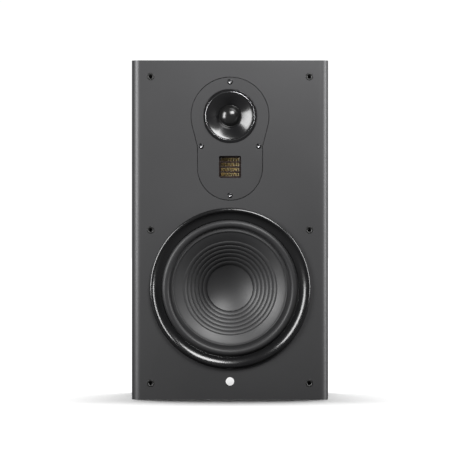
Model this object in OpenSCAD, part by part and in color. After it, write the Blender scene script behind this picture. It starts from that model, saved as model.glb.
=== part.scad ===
// Bookshelf speaker: a cone woofer under a keyhole plate that carries a dome tweeter and a pleated ribbon unit.
// +Z is up and the drivers face -Y. The origin is on the ground under the middle of the whole object.

/* [Cabinet] */
// Width across the cabinet
cabinet_w = 216; // [212:1:270]
// Height of the cabinet
cabinet_h = 373; // [366:1:460]
// Depth from the baffle's face to the back panel's face
cabinet_d = 280; // [230:1:360]
// Thickness of the front baffle
baffle_t = 25; // [22:0.5:32]
// Thickness of the side, top, bottom and back panels
panel_t = 18; // [14:0.5:22]
// Radius of the baffle's two upright edges
edge_r = 10; // [3:0.5:12]
// Thickness of the window brace between woofer and treble units
brace_t = 12; // [9:0.5:16]
// Width of the rails left around the brace's window
brace_rail = 25; // [15:1:35]
// Thickness of the damping felt
felt_t = 12; // [6:1:14]

/* [Grille sockets and badge] */
// Distance from the cabinet's side to a grille socket
socket_inset = 20.8; // [19:0.1:24]
// Distance from the cabinet's top or bottom to the outer grille sockets
socket_margin = 17.9; // [12:0.1:24]
// Outer radius of a grille socket
socket_r = 4.15; // [3.5:0.05:5]
// Radius of the peg hole in a grille socket
peg_r = 2; // [1.5:0.05:2.6]
// Depth of the peg hole
peg_depth = 12; // [8:0.5:14]
// Radius of the plain badge
badge_r = 4.6; // [3:0.1:6]
// Height of the badge's centre above the cabinet's bottom
badge_rise = 20; // [14:0.5:22]

/* [Woofer] */
// Height of the woofer's axis above the cabinet's bottom
woofer_rise = 122.4; // [118:0.1:124]
// Outer radius of the trim ring
trim_r = 88.7; // [73:0.1:90]
// Width of the trim ring
trim_band = 12.9; // [12.5:0.1:14]
// How far the trim ring stands out of the baffle
trim_proud = 4; // [3:0.1:5]
// Width of the surround's half roll
roll_w = 8.8; // [7:0.1:10.5]
// Width of the surround's glued inner lip
lip_w = 5; // [4:0.1:6]
// Radius of the dust cap
cap_r = 25.1; // [22:0.1:30]
// Depth of the dust cap's dish
cap_dish = 6; // [2:0.1:7]
// Depth of the cone from its rim to its neck
cone_depth = 26; // [22:0.5:29]
// Outer radius of the voice-coil former
former_r = 19; // [17:0.1:21]
// Radius of the magnet
magnet_r = 55; // [45:0.5:62]
// Thickness of the magnet
magnet_t = 18; // [12:0.5:24]
// Thickness of the woofer's top plate
top_plate_t = 6; // [4:0.5:8]

/* [Treble plate] */
// Distance from the cabinet's top to the dome's axis
dome_drop = 61.3; // [55:0.1:64]
// Distance from the dome's axis down to the ribbon's centre
ribbon_drop = 55.9; // [55:0.1:58]
// Radius of the plate's upper arc
plate_top_r = 42.5; // [41:0.1:48]
// Radius of the plate's lower arc
plate_low_r = 35.4; // [34:0.1:38]
// Distance from the dome's axis to the lower arc's centre
plate_low_drop = 56.8; // [56:0.1:60]
// Lean of the plate's flanks from upright
flank_deg = 14; // [10:0.5:20]
// Thickness of the plate
plate_t = 6; // [5:0.1:7.5]
// Distance from the plate's edge to a screw's centre
plate_screw_inset = 4.9; // [4.5:0.1:6]

/* [Dome tweeter] */
// Outer radius of the waveguide's flange
guide_r = 29.6; // [28:0.1:31]
// How far the waveguide's bright ring stands out of the plate
guide_proud = 1.2; // [0.6:0.1:2]
// Radius of the waveguide's mouth
mouth_r = 25.4; // [23:0.1:26]
// Radius of the waveguide's throat
throat_r = 12.6; // [11.5:0.1:14]
// Depth from the plate's face to the throat
throat_depth = 8.6; // [8:0.1:12]
// Height of the dome
dome_rise = 6.2; // [3:0.1:7]
// Outer radius of the rear chamber
chamber_r = 30.6; // [29:0.1:32]
// Depth from the plate's face to the chamber's back
chamber_depth = 50; // [38:0.5:60]

/* [Ribbon unit] */
// Width of the plate's window
window_w = 24.4; // [20:0.1:28]
// Height of the plate's window
window_h = 24.2; // [20:0.1:28]
// Number of slots in the front grid
slots = 4; // [3:1:5]
// Distance from one slot to the next
slot_pitch = 5.5; // [4.5:0.1:5.6]
// Height of a slot
slot_h = 3.5; // [2:0.1:3.8]
// Distance from one pleat to the next
pleat_pitch = 2.9; // [2.2:0.1:3.4]
// Outer width of the ribbon unit's frame
ribbon_w = 46; // [45:0.5:48]
// Outer height of the ribbon unit's frame
ribbon_h = 40; // [39:0.5:42]
// Depth of the ribbon unit's frame behind the plate
ribbon_d = 14; // [12:0.5:20]

/* [Port] */
// Distance from the cabinet's top to the port's axis
port_drop = 83; // [70:1:92]
// Inner radius of the port
port_r = 25; // [18:0.5:28]
// Wall of the port tube
port_wall = 2.5; // [2:0.1:4]
// Length of the port tube
port_len = 140; // [90:1:145]
// Radius of the port's outer flare
flare_r = 8; // [4:0.5:10]

/* [Terminals] */
// Height of the binding posts above the cabinet's bottom
post_rise = 88; // [70:1:100]
// Distance between the two binding posts
post_pitch = 19.05; // [19.05:0.05:24]
// Width of the terminal plate
terminal_w = 86; // [76:1:110]
// Height of the terminal plate
terminal_h = 56; // [50:1:70]
// Thickness of the terminal plate
terminal_t = 3; // [2:0.1:4]
// Radius of a post's stud
stud_r = 3; // [2.9:0.05:3.5]
// Radius of the plug bore in a stud
plug_r = 2; // [2:0.05:2.1]
// Depth of the plug bore
plug_depth = 14; // [10:0.5:14]
// Radius of a post's cap
post_cap_r = 8; // [7:0.1:8.6]
// Length of a post's cap
post_cap_len = 17.8; // [15:0.1:22]

/* [Crossover] */
// Width of the crossover board
board_w = 120; // [110:1:150]
// Depth of the crossover board
board_d = 90; // [84:1:110]
// Radius of the internal cables
cable_r = 1.8; // [1.2:0.1:2.2]

/* [Hidden] */
$fn = 96;

// Clearances
panel_gap = 0.4;      // around a part set into an opening
shadow_gap = 0.7;     // around the treble plate in its recess
screw_gap = 0.1;      // around a screw's shank
slip_gap = 0.05;      // around a stud inside what turns or slides on it
air_gap = 0.6;        // around each voice coil
cut_extra = 1;        // how far a cutting tool runs past a face

// Binding posts, measured outwards from the back panel's face
collar_end = terminal_t + 5;
washer_t = 1.2;
post_cap_start = collar_end + washer_t;
post_reach = post_cap_start + post_cap_len;
stud_end = post_reach - 1;
stud_inner = 16;

// Places
y_front = trim_proud - (trim_proud + cabinet_d + post_reach) / 2;
y_back = y_front + cabinet_d;
y_baffle_rear = y_front + baffle_t;
y_back_inner = y_back - panel_t;
inner_half_w = cabinet_w / 2 - panel_t;
woofer_z = woofer_rise;
dome_z = cabinet_h - dome_drop;
ribbon_z = dome_z - ribbon_drop;
port_z = cabinet_h - port_drop;
socket_x = cabinet_w / 2 - socket_inset;
socket_heights = [socket_margin, cabinet_h / 2, cabinet_h - socket_margin];

// Woofer, radii from its axis and depths behind the baffle's face
trim_inner_r = trim_r - trim_band;
flange_r = trim_r - 2.7;
rebate_r = flange_r + 0.5;
seat_depth = 2;
lip_t = 0.8;
rebate_depth = 6;
roll_outer_r = trim_inner_r - 0.3;
roll_inner_r = roll_outer_r - roll_w;
rim_r = roll_inner_r - lip_w;
lip_outer_r = roll_outer_r + 2.9;
neck_r = flange_r - 14;
cutout_r = neck_r + 0.5;
relief_depth = 10;
relief_r = cutout_r + relief_depth;
woofer_screw_r = 2;
woofer_head_r = 3.4;
woofer_screw_ring = flange_r - woofer_head_r - 0.6;
woofer_screw_len = 16;
woofer_screw_count = 6;
rim_depth = seat_depth + lip_t;
neck_depth = rim_depth + cone_depth;
cone_t = 1.4;
cone_power = 1.2;
ledge_depth = neck_depth + 13.6;
ledge_t = 4;
ledge_r = former_r + 41;
ledge_inner_r = former_r + 31;
floor_depth = ledge_depth + 14;
floor_t = 3;
plate_depth = floor_depth + floor_t;
magnet_depth = plate_depth + top_plate_t;
yoke_depth = magnet_depth + magnet_t;
yoke_t = 6;
plate_r = magnet_r - 5;
former_t = 0.3;
pole_r = former_r - former_t - air_gap;
winding_r = former_r + 1.3;
winding_len = 14;
winding_start = plate_depth + top_plate_t / 2 - winding_len / 2;
boot_t = 2;

// Treble plate, offsets from the dome's axis with positive numbers downwards
flank_end = plate_top_r * sin(flank_deg) + (plate_top_r * cos(flank_deg) - plate_low_r) / tan(flank_deg);
gasket_t = 0.8;
plate_rebate = plate_t + gasket_t;
plate_screw_x = plate_low_r - 3.8;
plate_screw_y = flank_end - 0.6;
plate_screw_places = [
    [0, plate_screw_inset - plate_top_r],
    [plate_screw_x, plate_screw_y],
    [-plate_screw_x, plate_screw_y],
    [0, plate_low_drop + plate_low_r - plate_screw_inset]
];
plate_screw_r = 1.5;
plate_head_r = 2.9;
plate_head_t = 2.6;
plate_screw_len = 18;
guide_flange_t = 3;
guide_step = 0.7;
guide_body_r = guide_r - 2.4;
guide_back = throat_depth + 0.8;
dome_r = throat_r - 1.4;
dome_t = 0.4;
dome_ball_r = (dome_r * dome_r + dome_rise * dome_rise) / (2 * dome_rise);
coil_outer_r = dome_r + 0.2;
coil_inner_r = coil_outer_r - 0.7;
tweeter_plate_t = 3;
tweeter_magnet_t = 10;
tweeter_back_t = 4;
tweeter_pole_r = coil_inner_r - 0.4;
chamber_wall = 2;
treble_cut_r = chamber_r + 2.4;
ribbon_cut_gap = 1.5;
window_r = 1.8;
ribbon_wall = 3.8;
grid_t = 1.5;
grid_rise = 1.4;
slot_w = window_w - 3.4;
pleat_count = floor((window_w - 2) / pleat_pitch);
pleat_depth = 4.5;
foil_t = 0.4;

// Crossover, on the bottom panel in front of the back panel
board_t = 1.6;
board_lift = 5;
board_y = y_back_inner - 15 - board_d / 2;
board_top = panel_t + board_lift + board_t;

// ---------- shared shapes ----------

// Puts a shape on an axis that runs into the cabinet from the baffle's face: its z is depth and its y is down.
module into_front(z) {
    translate([0, y_front, z])
        rotate([-90, 0, 0])
            children();
}

// Puts a shape on an axis that runs out of the back panel's face.
module out_of_back(x, z) {
    translate([x, y_back, z])
        rotate([-90, 0, 0])
            children();
}

// A ring between two depths.
module ring(outer, inner, from, to) {
    translate([0, 0, from])
        difference() {
            cylinder(r = outer, h = to - from);
            translate([0, 0, -cut_extra])
                cylinder(r = inner, h = to - from + 2 * cut_extra);
        }
}

// A box centred on its axis, between two depths.
module slab(w, h, from, to) {
    translate([-w / 2, -h / 2, from])
        cube([w, h, to - from]);
}

// A flat rectangle with round corners, centred.
module round_rect(w, h, r) {
    square([w - 2 * r, h], center = true);
    square([w, h - 2 * r], center = true);
    for (x = [-1, 1], y = [-1, 1])
        translate([x * (w / 2 - r), y * (h / 2 - r)])
            circle(r = r);
}

// The keyhole outline of the treble plate, grown all round by g. The flanks start a hair inside the upper arc,
// so that they cross it and don't only touch it.
module keyhole(g) {
    start_r = plate_top_r + g - 0.02;
    low_r = plate_low_r + g;
    end = start_r * sin(flank_deg) + (start_r * cos(flank_deg) - low_r) / tan(flank_deg);
    circle(r = plate_top_r + g);
    translate([0, plate_low_drop])
        circle(r = low_r);
    polygon([
        [start_r * cos(flank_deg), start_r * sin(flank_deg)],
        [low_r, end],
        [low_r, plate_low_drop],
        [-low_r, plate_low_drop],
        [-low_r, end],
        [-start_r * cos(flank_deg), start_r * sin(flank_deg)]
    ]);
}

// The opening behind the treble plate, grown all round by g.
module treble_opening(g) {
    half_w = ribbon_w / 2 + ribbon_cut_gap + g;
    circle(r = treble_cut_r + g);
    translate([-half_w, 0])
        square([2 * half_w, ribbon_drop + ribbon_h / 2 + ribbon_cut_gap + g]);
}

// A countersunk screw that starts at its head's face.
module countersunk(head, shank, length) {
    cylinder(r1 = head, r2 = shank, h = head - shank);
    cylinder(r = shank, h = length);
}

// ---------- cabinet ----------

module front_baffle() {
    color([0.24, 0.24, 0.25])
    difference() {
        linear_extrude(cabinet_h)
            translate([0, y_front])
                difference() {
                    translate([-cabinet_w / 2, 0])
                        square([cabinet_w, baffle_t]);
                    for (side = [-1, 1])
                        translate([side * (cabinet_w / 2 - edge_r), edge_r])
                            difference() {
                                translate([side > 0 ? 0 : -edge_r - cut_extra, -edge_r - cut_extra])
                                    square([edge_r + cut_extra, edge_r + cut_extra]);
                                circle(r = edge_r);
                            }
                }
        into_front(woofer_z) {
            translate([0, 0, -cut_extra])
                cylinder(r = rebate_r, h = rebate_depth + cut_extra);
            cylinder(r = cutout_r, h = baffle_t + cut_extra);
            translate([0, 0, baffle_t - relief_depth])
                cylinder(r1 = cutout_r, r2 = relief_r, h = relief_depth);
            for (i = [0 : woofer_screw_count - 1])
                rotate([0, 0, i * 360 / woofer_screw_count])
                    translate([woofer_screw_ring, 0, 0])
                        cylinder(r = woofer_screw_r + screw_gap, h = seat_depth + woofer_screw_len + cut_extra);
        }
        into_front(dome_z) {
            translate([0, 0, -cut_extra])
                linear_extrude(plate_rebate + cut_extra)
                    keyhole(shadow_gap);
            linear_extrude(baffle_t + cut_extra)
                treble_opening(0);
            for (p = plate_screw_places)
                translate([p[0], p[1], 0])
                    cylinder(r = plate_screw_r + screw_gap, h = plate_screw_len + cut_extra);
        }
        for (side = [-1, 1], z = socket_heights)
            translate([side * socket_x, 0, 0])
                into_front(z)
                    translate([0, 0, -cut_extra])
                        cylinder(r = socket_r, h = peg_depth + 2 + cut_extra);
    }
}

module side_panel(side) {
    color([0.22, 0.22, 0.23])
    translate([side > 0 ? inner_half_w : -cabinet_w / 2, y_baffle_rear, 0])
        cube([panel_t, cabinet_d - baffle_t, cabinet_h]);
}

module left_side_panel() {
    side_panel(-1);
}

module right_side_panel() {
    side_panel(1);
}

module level_panel(z) {
    color([0.22, 0.22, 0.23])
    translate([-inner_half_w, y_baffle_rear, z])
        cube([2 * inner_half_w, cabinet_d - baffle_t, panel_t]);
}

module top_panel() {
    level_panel(cabinet_h - panel_t);
}

module bottom_panel() {
    level_panel(0);
}

terminal_screw_x = terminal_w / 2 - 7;
terminal_screw_y = terminal_h / 2 - 7;
terminal_screw_r = 1.6;
terminal_screw_len = 15;
flange_w = flare_r + 3;

module back_panel() {
    color([0.22, 0.22, 0.23])
    difference() {
        translate([-inner_half_w, y_back_inner, panel_t])
            cube([2 * inner_half_w, panel_t, cabinet_h - 2 * panel_t]);
        out_of_back(0, port_z)
            translate([0, 0, -panel_t - cut_extra])
                cylinder(r = port_r + port_wall + screw_gap, h = panel_t + 2 * cut_extra);
        out_of_back(0, port_z)
            translate([0, 0, -flare_r])
                cylinder(r = port_r + flare_r + port_wall + screw_gap, h = flare_r + cut_extra);
        out_of_back(0, post_rise) {
            translate([0, 0, -panel_t - cut_extra])
                linear_extrude(panel_t + 2 * cut_extra)
                    round_rect(terminal_w - 24, terminal_h - 20, 5);
            for (x = [-1, 1], y = [-1, 1])
                translate([x * terminal_screw_x, y * terminal_screw_y, -terminal_screw_len])
                    cylinder(r = terminal_screw_r + screw_gap, h = terminal_screw_len + cut_extra);
        }
    }
}

brace_z = woofer_z + relief_r + 2;

module window_brace() {
    depth = y_back_inner - y_baffle_rear;
    color([0.72, 0.60, 0.44])
    translate([0, (y_baffle_rear + y_back_inner) / 2, brace_z])
        linear_extrude(brace_t)
            difference() {
                square([2 * inner_half_w, depth], center = true);
                round_rect(2 * (inner_half_w - brace_rail), depth - 2 * brace_rail, 15);
            }
}

module damping_felt() {
    margin = 10;
    start = y_baffle_rear + 3 * margin;
    depth = y_back_inner - 2 * margin - start;
    low_h = brace_z - panel_t - 2 * margin;
    high_z = brace_z + brace_t + margin;
    high_h = cabinet_h - panel_t - 2 * margin - felt_t - high_z;
    color([0.55, 0.55, 0.52]) {
        for (side = [-1, 1], band = [[panel_t + margin, low_h], [high_z, high_h]])
            translate([side > 0 ? inner_half_w - felt_t : -inner_half_w, start, band[0]])
                cube([felt_t, depth, band[1]]);
        translate([margin - inner_half_w, start, cabinet_h - panel_t - felt_t])
            cube([2 * (inner_half_w - margin), depth, felt_t]);
    }
}

module grille_sockets() {
    color([0.08, 0.08, 0.08])
    for (side = [-1, 1], z = socket_heights)
        translate([side * socket_x, 0, 0])
            into_front(z)
                difference() {
                    cylinder(r = socket_r, h = peg_depth + 2);
                    translate([0, 0, -cut_extra])
                        cylinder(r = peg_r, h = peg_depth + cut_extra);
                }
}

module badge() {
    badge_t = 0.8;
    color([0.92, 0.92, 0.92])
    into_front(badge_rise)
        translate([0, 0, -badge_t])
            cylinder(r = badge_r, h = badge_t);
}

// ---------- woofer ----------

// The ring's section: a flat crown with a rounded outer edge and a cove that falls to the surround.
module woofer_trim_ring() {
    round_r = 3;
    crown_r = trim_r - round_r;
    skirt_r = flange_r + 0.2;
    cove_r = 12;
    color([0.03, 0.03, 0.03])
    into_front(woofer_z)
        rotate([180, 0, 0])
            rotate_extrude()
                difference() {
                    union() {
                        translate([trim_inner_r, -seat_depth])
                            square([crown_r - trim_inner_r, seat_depth + trim_proud]);
                        translate([trim_inner_r, -seat_depth])
                            square([skirt_r - trim_inner_r, seat_depth + 0.5]);
                        translate([trim_inner_r, 0])
                            square([trim_band, trim_proud - round_r]);
                        intersection() {
                            translate([crown_r, trim_proud - round_r])
                                circle(r = round_r);
                            translate([crown_r - 0.5, 0])
                                square([round_r + 0.5, trim_proud]);
                        }
                    }
                    translate([trim_inner_r + 0.2, trim_proud + 7.4])
                        circle(r = cove_r);
                }
}

module woofer_basket() {
    spokes = 4;
    spoke_deg = 28;
    sunk = 0.5;
    color([0.10, 0.10, 0.11])
    into_front(woofer_z)
        difference() {
            union() {
                ring(flange_r, neck_r - 2.5, seat_depth + lip_t, rebate_depth);
                ring(flange_r, lip_outer_r + 0.1, seat_depth, seat_depth + lip_t + 0.5);
                ring(neck_r, neck_r - 2.5, rebate_depth - 1, rebate_depth + 8);
                ring(ledge_r, ledge_inner_r, ledge_depth, ledge_depth + ledge_t);
                ring(plate_r, former_r + 11, floor_depth, plate_depth);
                for (i = [0 : spokes - 1])
                    rotate([0, 0, (i + 0.5) * 360 / spokes - spoke_deg / 2])
                        rotate_extrude(angle = spoke_deg)
                            polygon([
                                [neck_r - 2, rebate_depth + 3],
                                [neck_r - sunk, rebate_depth + 3],
                                [neck_r - sunk, rebate_depth + 7],
                                [ledge_r - sunk, ledge_depth],
                                [ledge_r - sunk, ledge_depth + ledge_t - sunk],
                                [plate_r - sunk, plate_depth - sunk],
                                [plate_r - 5, plate_depth - sunk],
                                [plate_r - 5, plate_depth - 2],
                                [ledge_r - 4, ledge_depth + ledge_t / 2],
                                [ledge_r - 4, ledge_depth - 2]
                            ]);
            }
            for (i = [0 : woofer_screw_count - 1])
                rotate([0, 0, i * 360 / woofer_screw_count])
                    translate([woofer_screw_ring, 0, seat_depth])
                        countersunk(woofer_head_r + screw_gap, woofer_screw_r + screw_gap, rebate_depth);
        }
}

module woofer_screws() {
    color([0.15, 0.15, 0.15])
    into_front(woofer_z)
        for (i = [0 : woofer_screw_count - 1])
            rotate([0, 0, i * 360 / woofer_screw_count])
                translate([woofer_screw_ring, 0, seat_depth + screw_gap])
                    difference() {
                        countersunk(woofer_head_r, woofer_screw_r, woofer_screw_len);
                        translate([0, 0, -cut_extra])
                            cylinder(r = 1.3, h = 1 + cut_extra, $fn = 6);
                    }
}

// A half roll with a flat glued lip on each side; the roll stands out towards the listener.
module woofer_surround() {
    mid_r = (roll_outer_r + roll_inner_r) / 2;
    bulge_r = roll_w / 2;
    color([0.05, 0.05, 0.05])
    into_front(woofer_z)
        rotate([180, 0, 0])
            rotate_extrude() {
                translate([mid_r, -rim_depth + lip_t])
                    difference() {
                        circle(r = bulge_r);
                        circle(r = bulge_r - lip_t);
                        translate([-2 * bulge_r, -4 * bulge_r])
                            square([4 * bulge_r, 4 * bulge_r]);
                    }
                translate([rim_r, -rim_depth])
                    square([roll_inner_r + lip_t - rim_r, lip_t]);
                translate([roll_outer_r - lip_t, -rim_depth])
                    square([lip_outer_r - roll_outer_r + lip_t, lip_t]);
            }
}

// Depth of the cone's front face at radius r: it falls faster towards the neck.
function cone_at(r) = rim_depth + cone_depth * pow((rim_r - r) / (rim_r - former_r), cone_power);

module woofer_cone() {
    steps = 12;
    front = [for (i = [0 : steps]) let (r = rim_r + (former_r - rim_r) * i / steps) [r, cone_at(r)]];
    rear = [for (i = [steps : -1 : 0]) [front[i][0], front[i][1] + cone_t]];
    color([0.12, 0.12, 0.12])
    into_front(woofer_z)
        rotate_extrude()
            polygon(concat(
                [[roll_inner_r - 0.3, rim_depth]],
                front,
                rear,
                [[roll_inner_r - 0.3, rim_depth + cone_t]]
            ));
}

// A shallow dish glued to the cone around its edge.
module dust_cap() {
    steps = 10;
    cap_t = 0.8;
    rear = [for (i = [0 : steps])
        let (r = cap_r * i / steps) [r, cone_at(cap_r) + cap_dish * (1 - pow(r / cap_r, 2))]];
    front = [for (i = [steps : -1 : 0]) [rear[i][0], rear[i][1] - cap_t]];
    color([0.12, 0.12, 0.12])
    into_front(woofer_z)
        rotate_extrude()
            polygon(concat(rear, front));
}

module voice_coil_former() {
    color([0.75, 0.73, 0.68])
    into_front(woofer_z)
        ring(former_r, former_r - former_t, neck_depth - 0.5, winding_start + winding_len);
}

module voice_coil_winding() {
    color([0.72, 0.38, 0.18])
    into_front(woofer_z)
        ring(winding_r, former_r, winding_start, winding_start + winding_len);
}

// A corrugated cloth disc between the former and the basket's ledge.
module woofer_spider() {
    waves = 5;
    per_wave = 4;
    inner = former_r + 2;
    swing = 1.5;
    span = ledge_inner_r + 0.5 - inner;
    count = waves * per_wave;
    cloth_t = 0.8;
    base = ledge_depth - cloth_t;
    wave = [for (i = [0 : count]) [inner + span * i / count, base + swing * sin(360 * i / per_wave)]];
    color([0.80, 0.68, 0.40])
    into_front(woofer_z) {
        rotate_extrude()
            polygon(concat(
                [[inner - 0.1, base - 2], [inner, base - 2]],
                wave,
                [[ledge_r - 5, base], [ledge_r - 5, base + cloth_t]],
                [for (i = [count : -1 : 0]) [wave[i][0], wave[i][1] + cloth_t]],
                [[former_r, base + 2], [former_r, base - 2]]
            ));
    }
}

module woofer_top_plate() {
    color([0.60, 0.62, 0.64])
    into_front(woofer_z)
        ring(plate_r, winding_r + air_gap, plate_depth, magnet_depth);
}

module woofer_magnet() {
    color([0.18, 0.18, 0.19])
    into_front(woofer_z)
        ring(magnet_r, former_r + 9, magnet_depth, yoke_depth);
}

module woofer_yoke() {
    vent_r = 7;
    color([0.60, 0.62, 0.64])
    into_front(woofer_z)
        difference() {
            union() {
                translate([0, 0, yoke_depth])
                    cylinder(r = plate_r, h = yoke_t);
                translate([0, 0, plate_depth])
                    cylinder(r = pole_r, h = yoke_depth - plate_depth + 1);
            }
            translate([0, 0, plate_depth - cut_extra])
                cylinder(r = vent_r, h = yoke_depth + yoke_t - plate_depth + 2 * cut_extra);
        }
}

module shorting_ring() {
    color([0.80, 0.45, 0.22])
    into_front(woofer_z)
        ring(former_r + 8, former_r + 3, yoke_depth - 5, yoke_depth);
}

module magnet_boot() {
    color([0.04, 0.04, 0.04])
    into_front(woofer_z) {
        ring(magnet_r + boot_t, magnet_r, magnet_depth, yoke_depth + yoke_t + boot_t);
        ring(magnet_r + boot_t, plate_r - 12, yoke_depth + yoke_t, yoke_depth + yoke_t + boot_t);
    }
}

tag_r = ledge_r + 3;
tag_x = 6;

// A fibre strip under the basket's ledge with two solder tags.
module woofer_tag_strip() {
    strip_t = 2;
    from = ledge_depth + ledge_t;
    color([0.75, 0.60, 0.30])
    into_front(woofer_z) {
        translate([-10, ledge_r - 8, from])
            cube([20, 14, strip_t]);
        for (side = [-1, 1])
            translate([side * tag_x - 1.5, tag_r - 1, from - 3])
                cube([3, 3, 3.5]);
    }
}

// A wire bent on one arc from a to b in the upright plane through the woofer's axis, bulging forwards.
module arc_wire(a, b, bend_r, wire_r) {
    chord = norm(b - a);
    mid = (a + b) / 2;
    perp = [b[1] - a[1], a[0] - b[0]] / chord;
    centre = mid - perp * sqrt(bend_r * bend_r - chord * chord / 4);
    from = atan2(a[1] - centre[1], a[0] - centre[0]);
    sweep = 2 * asin(chord / (2 * bend_r));
    translate([0, centre[0], centre[1]])
        rotate([0, 90, 0])
            rotate([0, 0, 90])
                rotate([0, 0, from])
                    rotate_extrude(angle = sweep)
                        translate([bend_r, 0])
                            circle(r = wire_r);
}

module tinsel_leads() {
    start = [former_r + 5.5, cone_at(former_r + 5.5) + cone_t + 0.8];
    end = [tag_r, ledge_depth + ledge_t - 3.8];
    color([0.80, 0.65, 0.35])
    into_front(woofer_z)
        for (side = [-1, 1])
            translate([side * tag_x, 0, 0])
                arc_wire(start, end, 26, 0.6);
}

// ---------- treble plate and dome tweeter ----------

module treble_plate() {
    color([0.24, 0.24, 0.25])
    into_front(dome_z)
        difference() {
            linear_extrude(plate_t)
                difference() {
                    keyhole(0);
                    translate([0, ribbon_drop])
                        round_rect(window_w, window_h, window_r);
                }
            translate([0, 0, -cut_extra])
                cylinder(r = guide_r + panel_gap / 2, h = guide_flange_t + cut_extra);
            cylinder(r = guide_body_r + panel_gap, h = plate_t + cut_extra);
            for (p = plate_screw_places)
                translate([p[0], p[1], -cut_extra]) {
                    cylinder(r = plate_head_r + screw_gap, h = plate_head_t + cut_extra);
                    cylinder(r = plate_screw_r + screw_gap, h = plate_t + 2 * cut_extra);
                }
        }
}

module treble_plate_screws() {
    color([0.55, 0.55, 0.56])
    into_front(dome_z)
        for (p = plate_screw_places)
            translate([p[0], p[1], 0])
                difference() {
                    union() {
                        cylinder(r = plate_head_r, h = plate_head_t);
                        cylinder(r = plate_screw_r, h = plate_screw_len);
                    }
                    translate([0, 0, -cut_extra])
                        cylinder(r = 1.45, h = 1.6 + cut_extra, $fn = 6);
                }
}

module treble_gasket() {
    color([0.10, 0.10, 0.10])
    into_front(dome_z)
        translate([0, 0, plate_t])
            linear_extrude(gasket_t)
                difference() {
                    keyhole(-0.5);
                    treble_opening(0.4);
                    for (p = plate_screw_places)
                        translate([p[0], p[1]])
                            circle(r = plate_screw_r + screw_gap);
                }
}

// The horn: a flange on the plate and a flared wall that narrows to the throat around the dome.
module waveguide() {
    steps = 8;
    wall = [for (i = [0 : steps])
        let (u = i / steps)
        [throat_r + (mouth_r - throat_r) * u, (throat_depth - 1) * pow(1 - u, 1.2) - 0.4]];
    color([0.05, 0.05, 0.05])
    into_front(dome_z)
        rotate_extrude()
            polygon(concat(
                [[throat_r, throat_depth]],
                wall,
                [
                    [guide_body_r - 0.9, -0.4],
                    [guide_body_r - 0.9, 0.4],
                    [guide_body_r, 0.4],
                    [guide_body_r, guide_step - guide_proud],
                    [guide_r - 0.3, guide_step - guide_proud],
                    [guide_r, guide_step + 0.3 - guide_proud],
                    [guide_r, guide_flange_t],
                    [guide_body_r, guide_flange_t],
                    [guide_body_r, guide_back],
                    [throat_r + 2.9, guide_back],
                    [throat_r + 2.9, throat_depth]
                ]
            ));
}

module waveguide_ring() {
    color([0.75, 0.75, 0.76])
    into_front(dome_z)
        ring(guide_body_r, guide_body_r - 0.9, -guide_proud, 0.4);
}

module tweeter_dome() {
    base = throat_depth;
    color([0.06, 0.06, 0.06])
    into_front(dome_z)
        intersection() {
            translate([0, 0, base - dome_rise + dome_ball_r])
                difference() {
                    sphere(r = dome_ball_r);
                    sphere(r = dome_ball_r - dome_t);
                }
            translate([0, 0, base - dome_rise - cut_extra])
                cylinder(r = dome_ball_r, h = dome_rise + cut_extra);
        }
}

// A tiny half roll between the dome's edge and the top plate.
module tweeter_surround() {
    lip = 0.25;
    roll_end = throat_r - 0.2;
    mid_r = (coil_outer_r + roll_end) / 2;
    bulge_r = (roll_end - coil_outer_r) / 2;
    color([0.05, 0.05, 0.05])
    into_front(dome_z)
        rotate([180, 0, 0])
            rotate_extrude() {
                translate([mid_r, -guide_back + lip])
                    difference() {
                        circle(r = bulge_r);
                        circle(r = bulge_r - lip);
                        translate([-2 * bulge_r, -4 * bulge_r])
                            square([4 * bulge_r, 4 * bulge_r]);
                    }
                translate([mid_r + bulge_r - lip, -guide_back])
                    square([throat_r + 2.6 - roll_end + lip, lip]);
            }
}

module tweeter_voice_coil() {
    color([0.72, 0.38, 0.18])
    into_front(dome_z)
        ring(coil_outer_r, coil_inner_r, throat_depth, guide_back + tweeter_plate_t + 1);
}

module tweeter_top_plate() {
    color([0.60, 0.62, 0.64])
    into_front(dome_z)
        ring(chamber_r, coil_outer_r + 0.4, guide_back, guide_back + tweeter_plate_t);
}

module tweeter_magnet() {
    color([0.18, 0.18, 0.19])
    into_front(dome_z)
        translate([0, 0, guide_back + tweeter_plate_t])
            ring(chamber_r - chamber_wall - 0.6, throat_r + 2, 0, tweeter_magnet_t);
}

module tweeter_yoke() {
    start = guide_back + 0.4;
    back = guide_back + tweeter_plate_t + tweeter_magnet_t;
    color([0.60, 0.62, 0.64])
    into_front(dome_z)
        difference() {
            union() {
                translate([0, 0, start])
                    cylinder(r = tweeter_pole_r, h = back - start + 1);
                translate([0, 0, back])
                    cylinder(r = chamber_r - chamber_wall - 0.6, h = tweeter_back_t);
            }
            translate([0, 0, start - cut_extra])
                cylinder(r = 4, h = back + tweeter_back_t - start + 2 * cut_extra);
        }
}

module tweeter_rear_chamber() {
    start = guide_back + tweeter_plate_t;
    color([0.07, 0.07, 0.07])
    into_front(dome_z)
        difference() {
            translate([0, 0, start])
                cylinder(r = chamber_r, h = chamber_depth - start);
            translate([0, 0, start - cut_extra])
                cylinder(r = chamber_r - chamber_wall, h = chamber_depth - start - chamber_wall + cut_extra);
        }
}

// ---------- ribbon unit ----------

module at_ribbon() {
    into_front(ribbon_z)
        children();
}

module ribbon_frame() {
    color([0.06, 0.06, 0.06])
    at_ribbon()
        difference() {
            slab(ribbon_w, ribbon_h, plate_t, plate_t + ribbon_d);
            slab(ribbon_w - 2 * ribbon_wall, ribbon_h - 2 * ribbon_wall, plate_t - cut_extra,
                plate_t + ribbon_d + cut_extra);
        }
}

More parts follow.
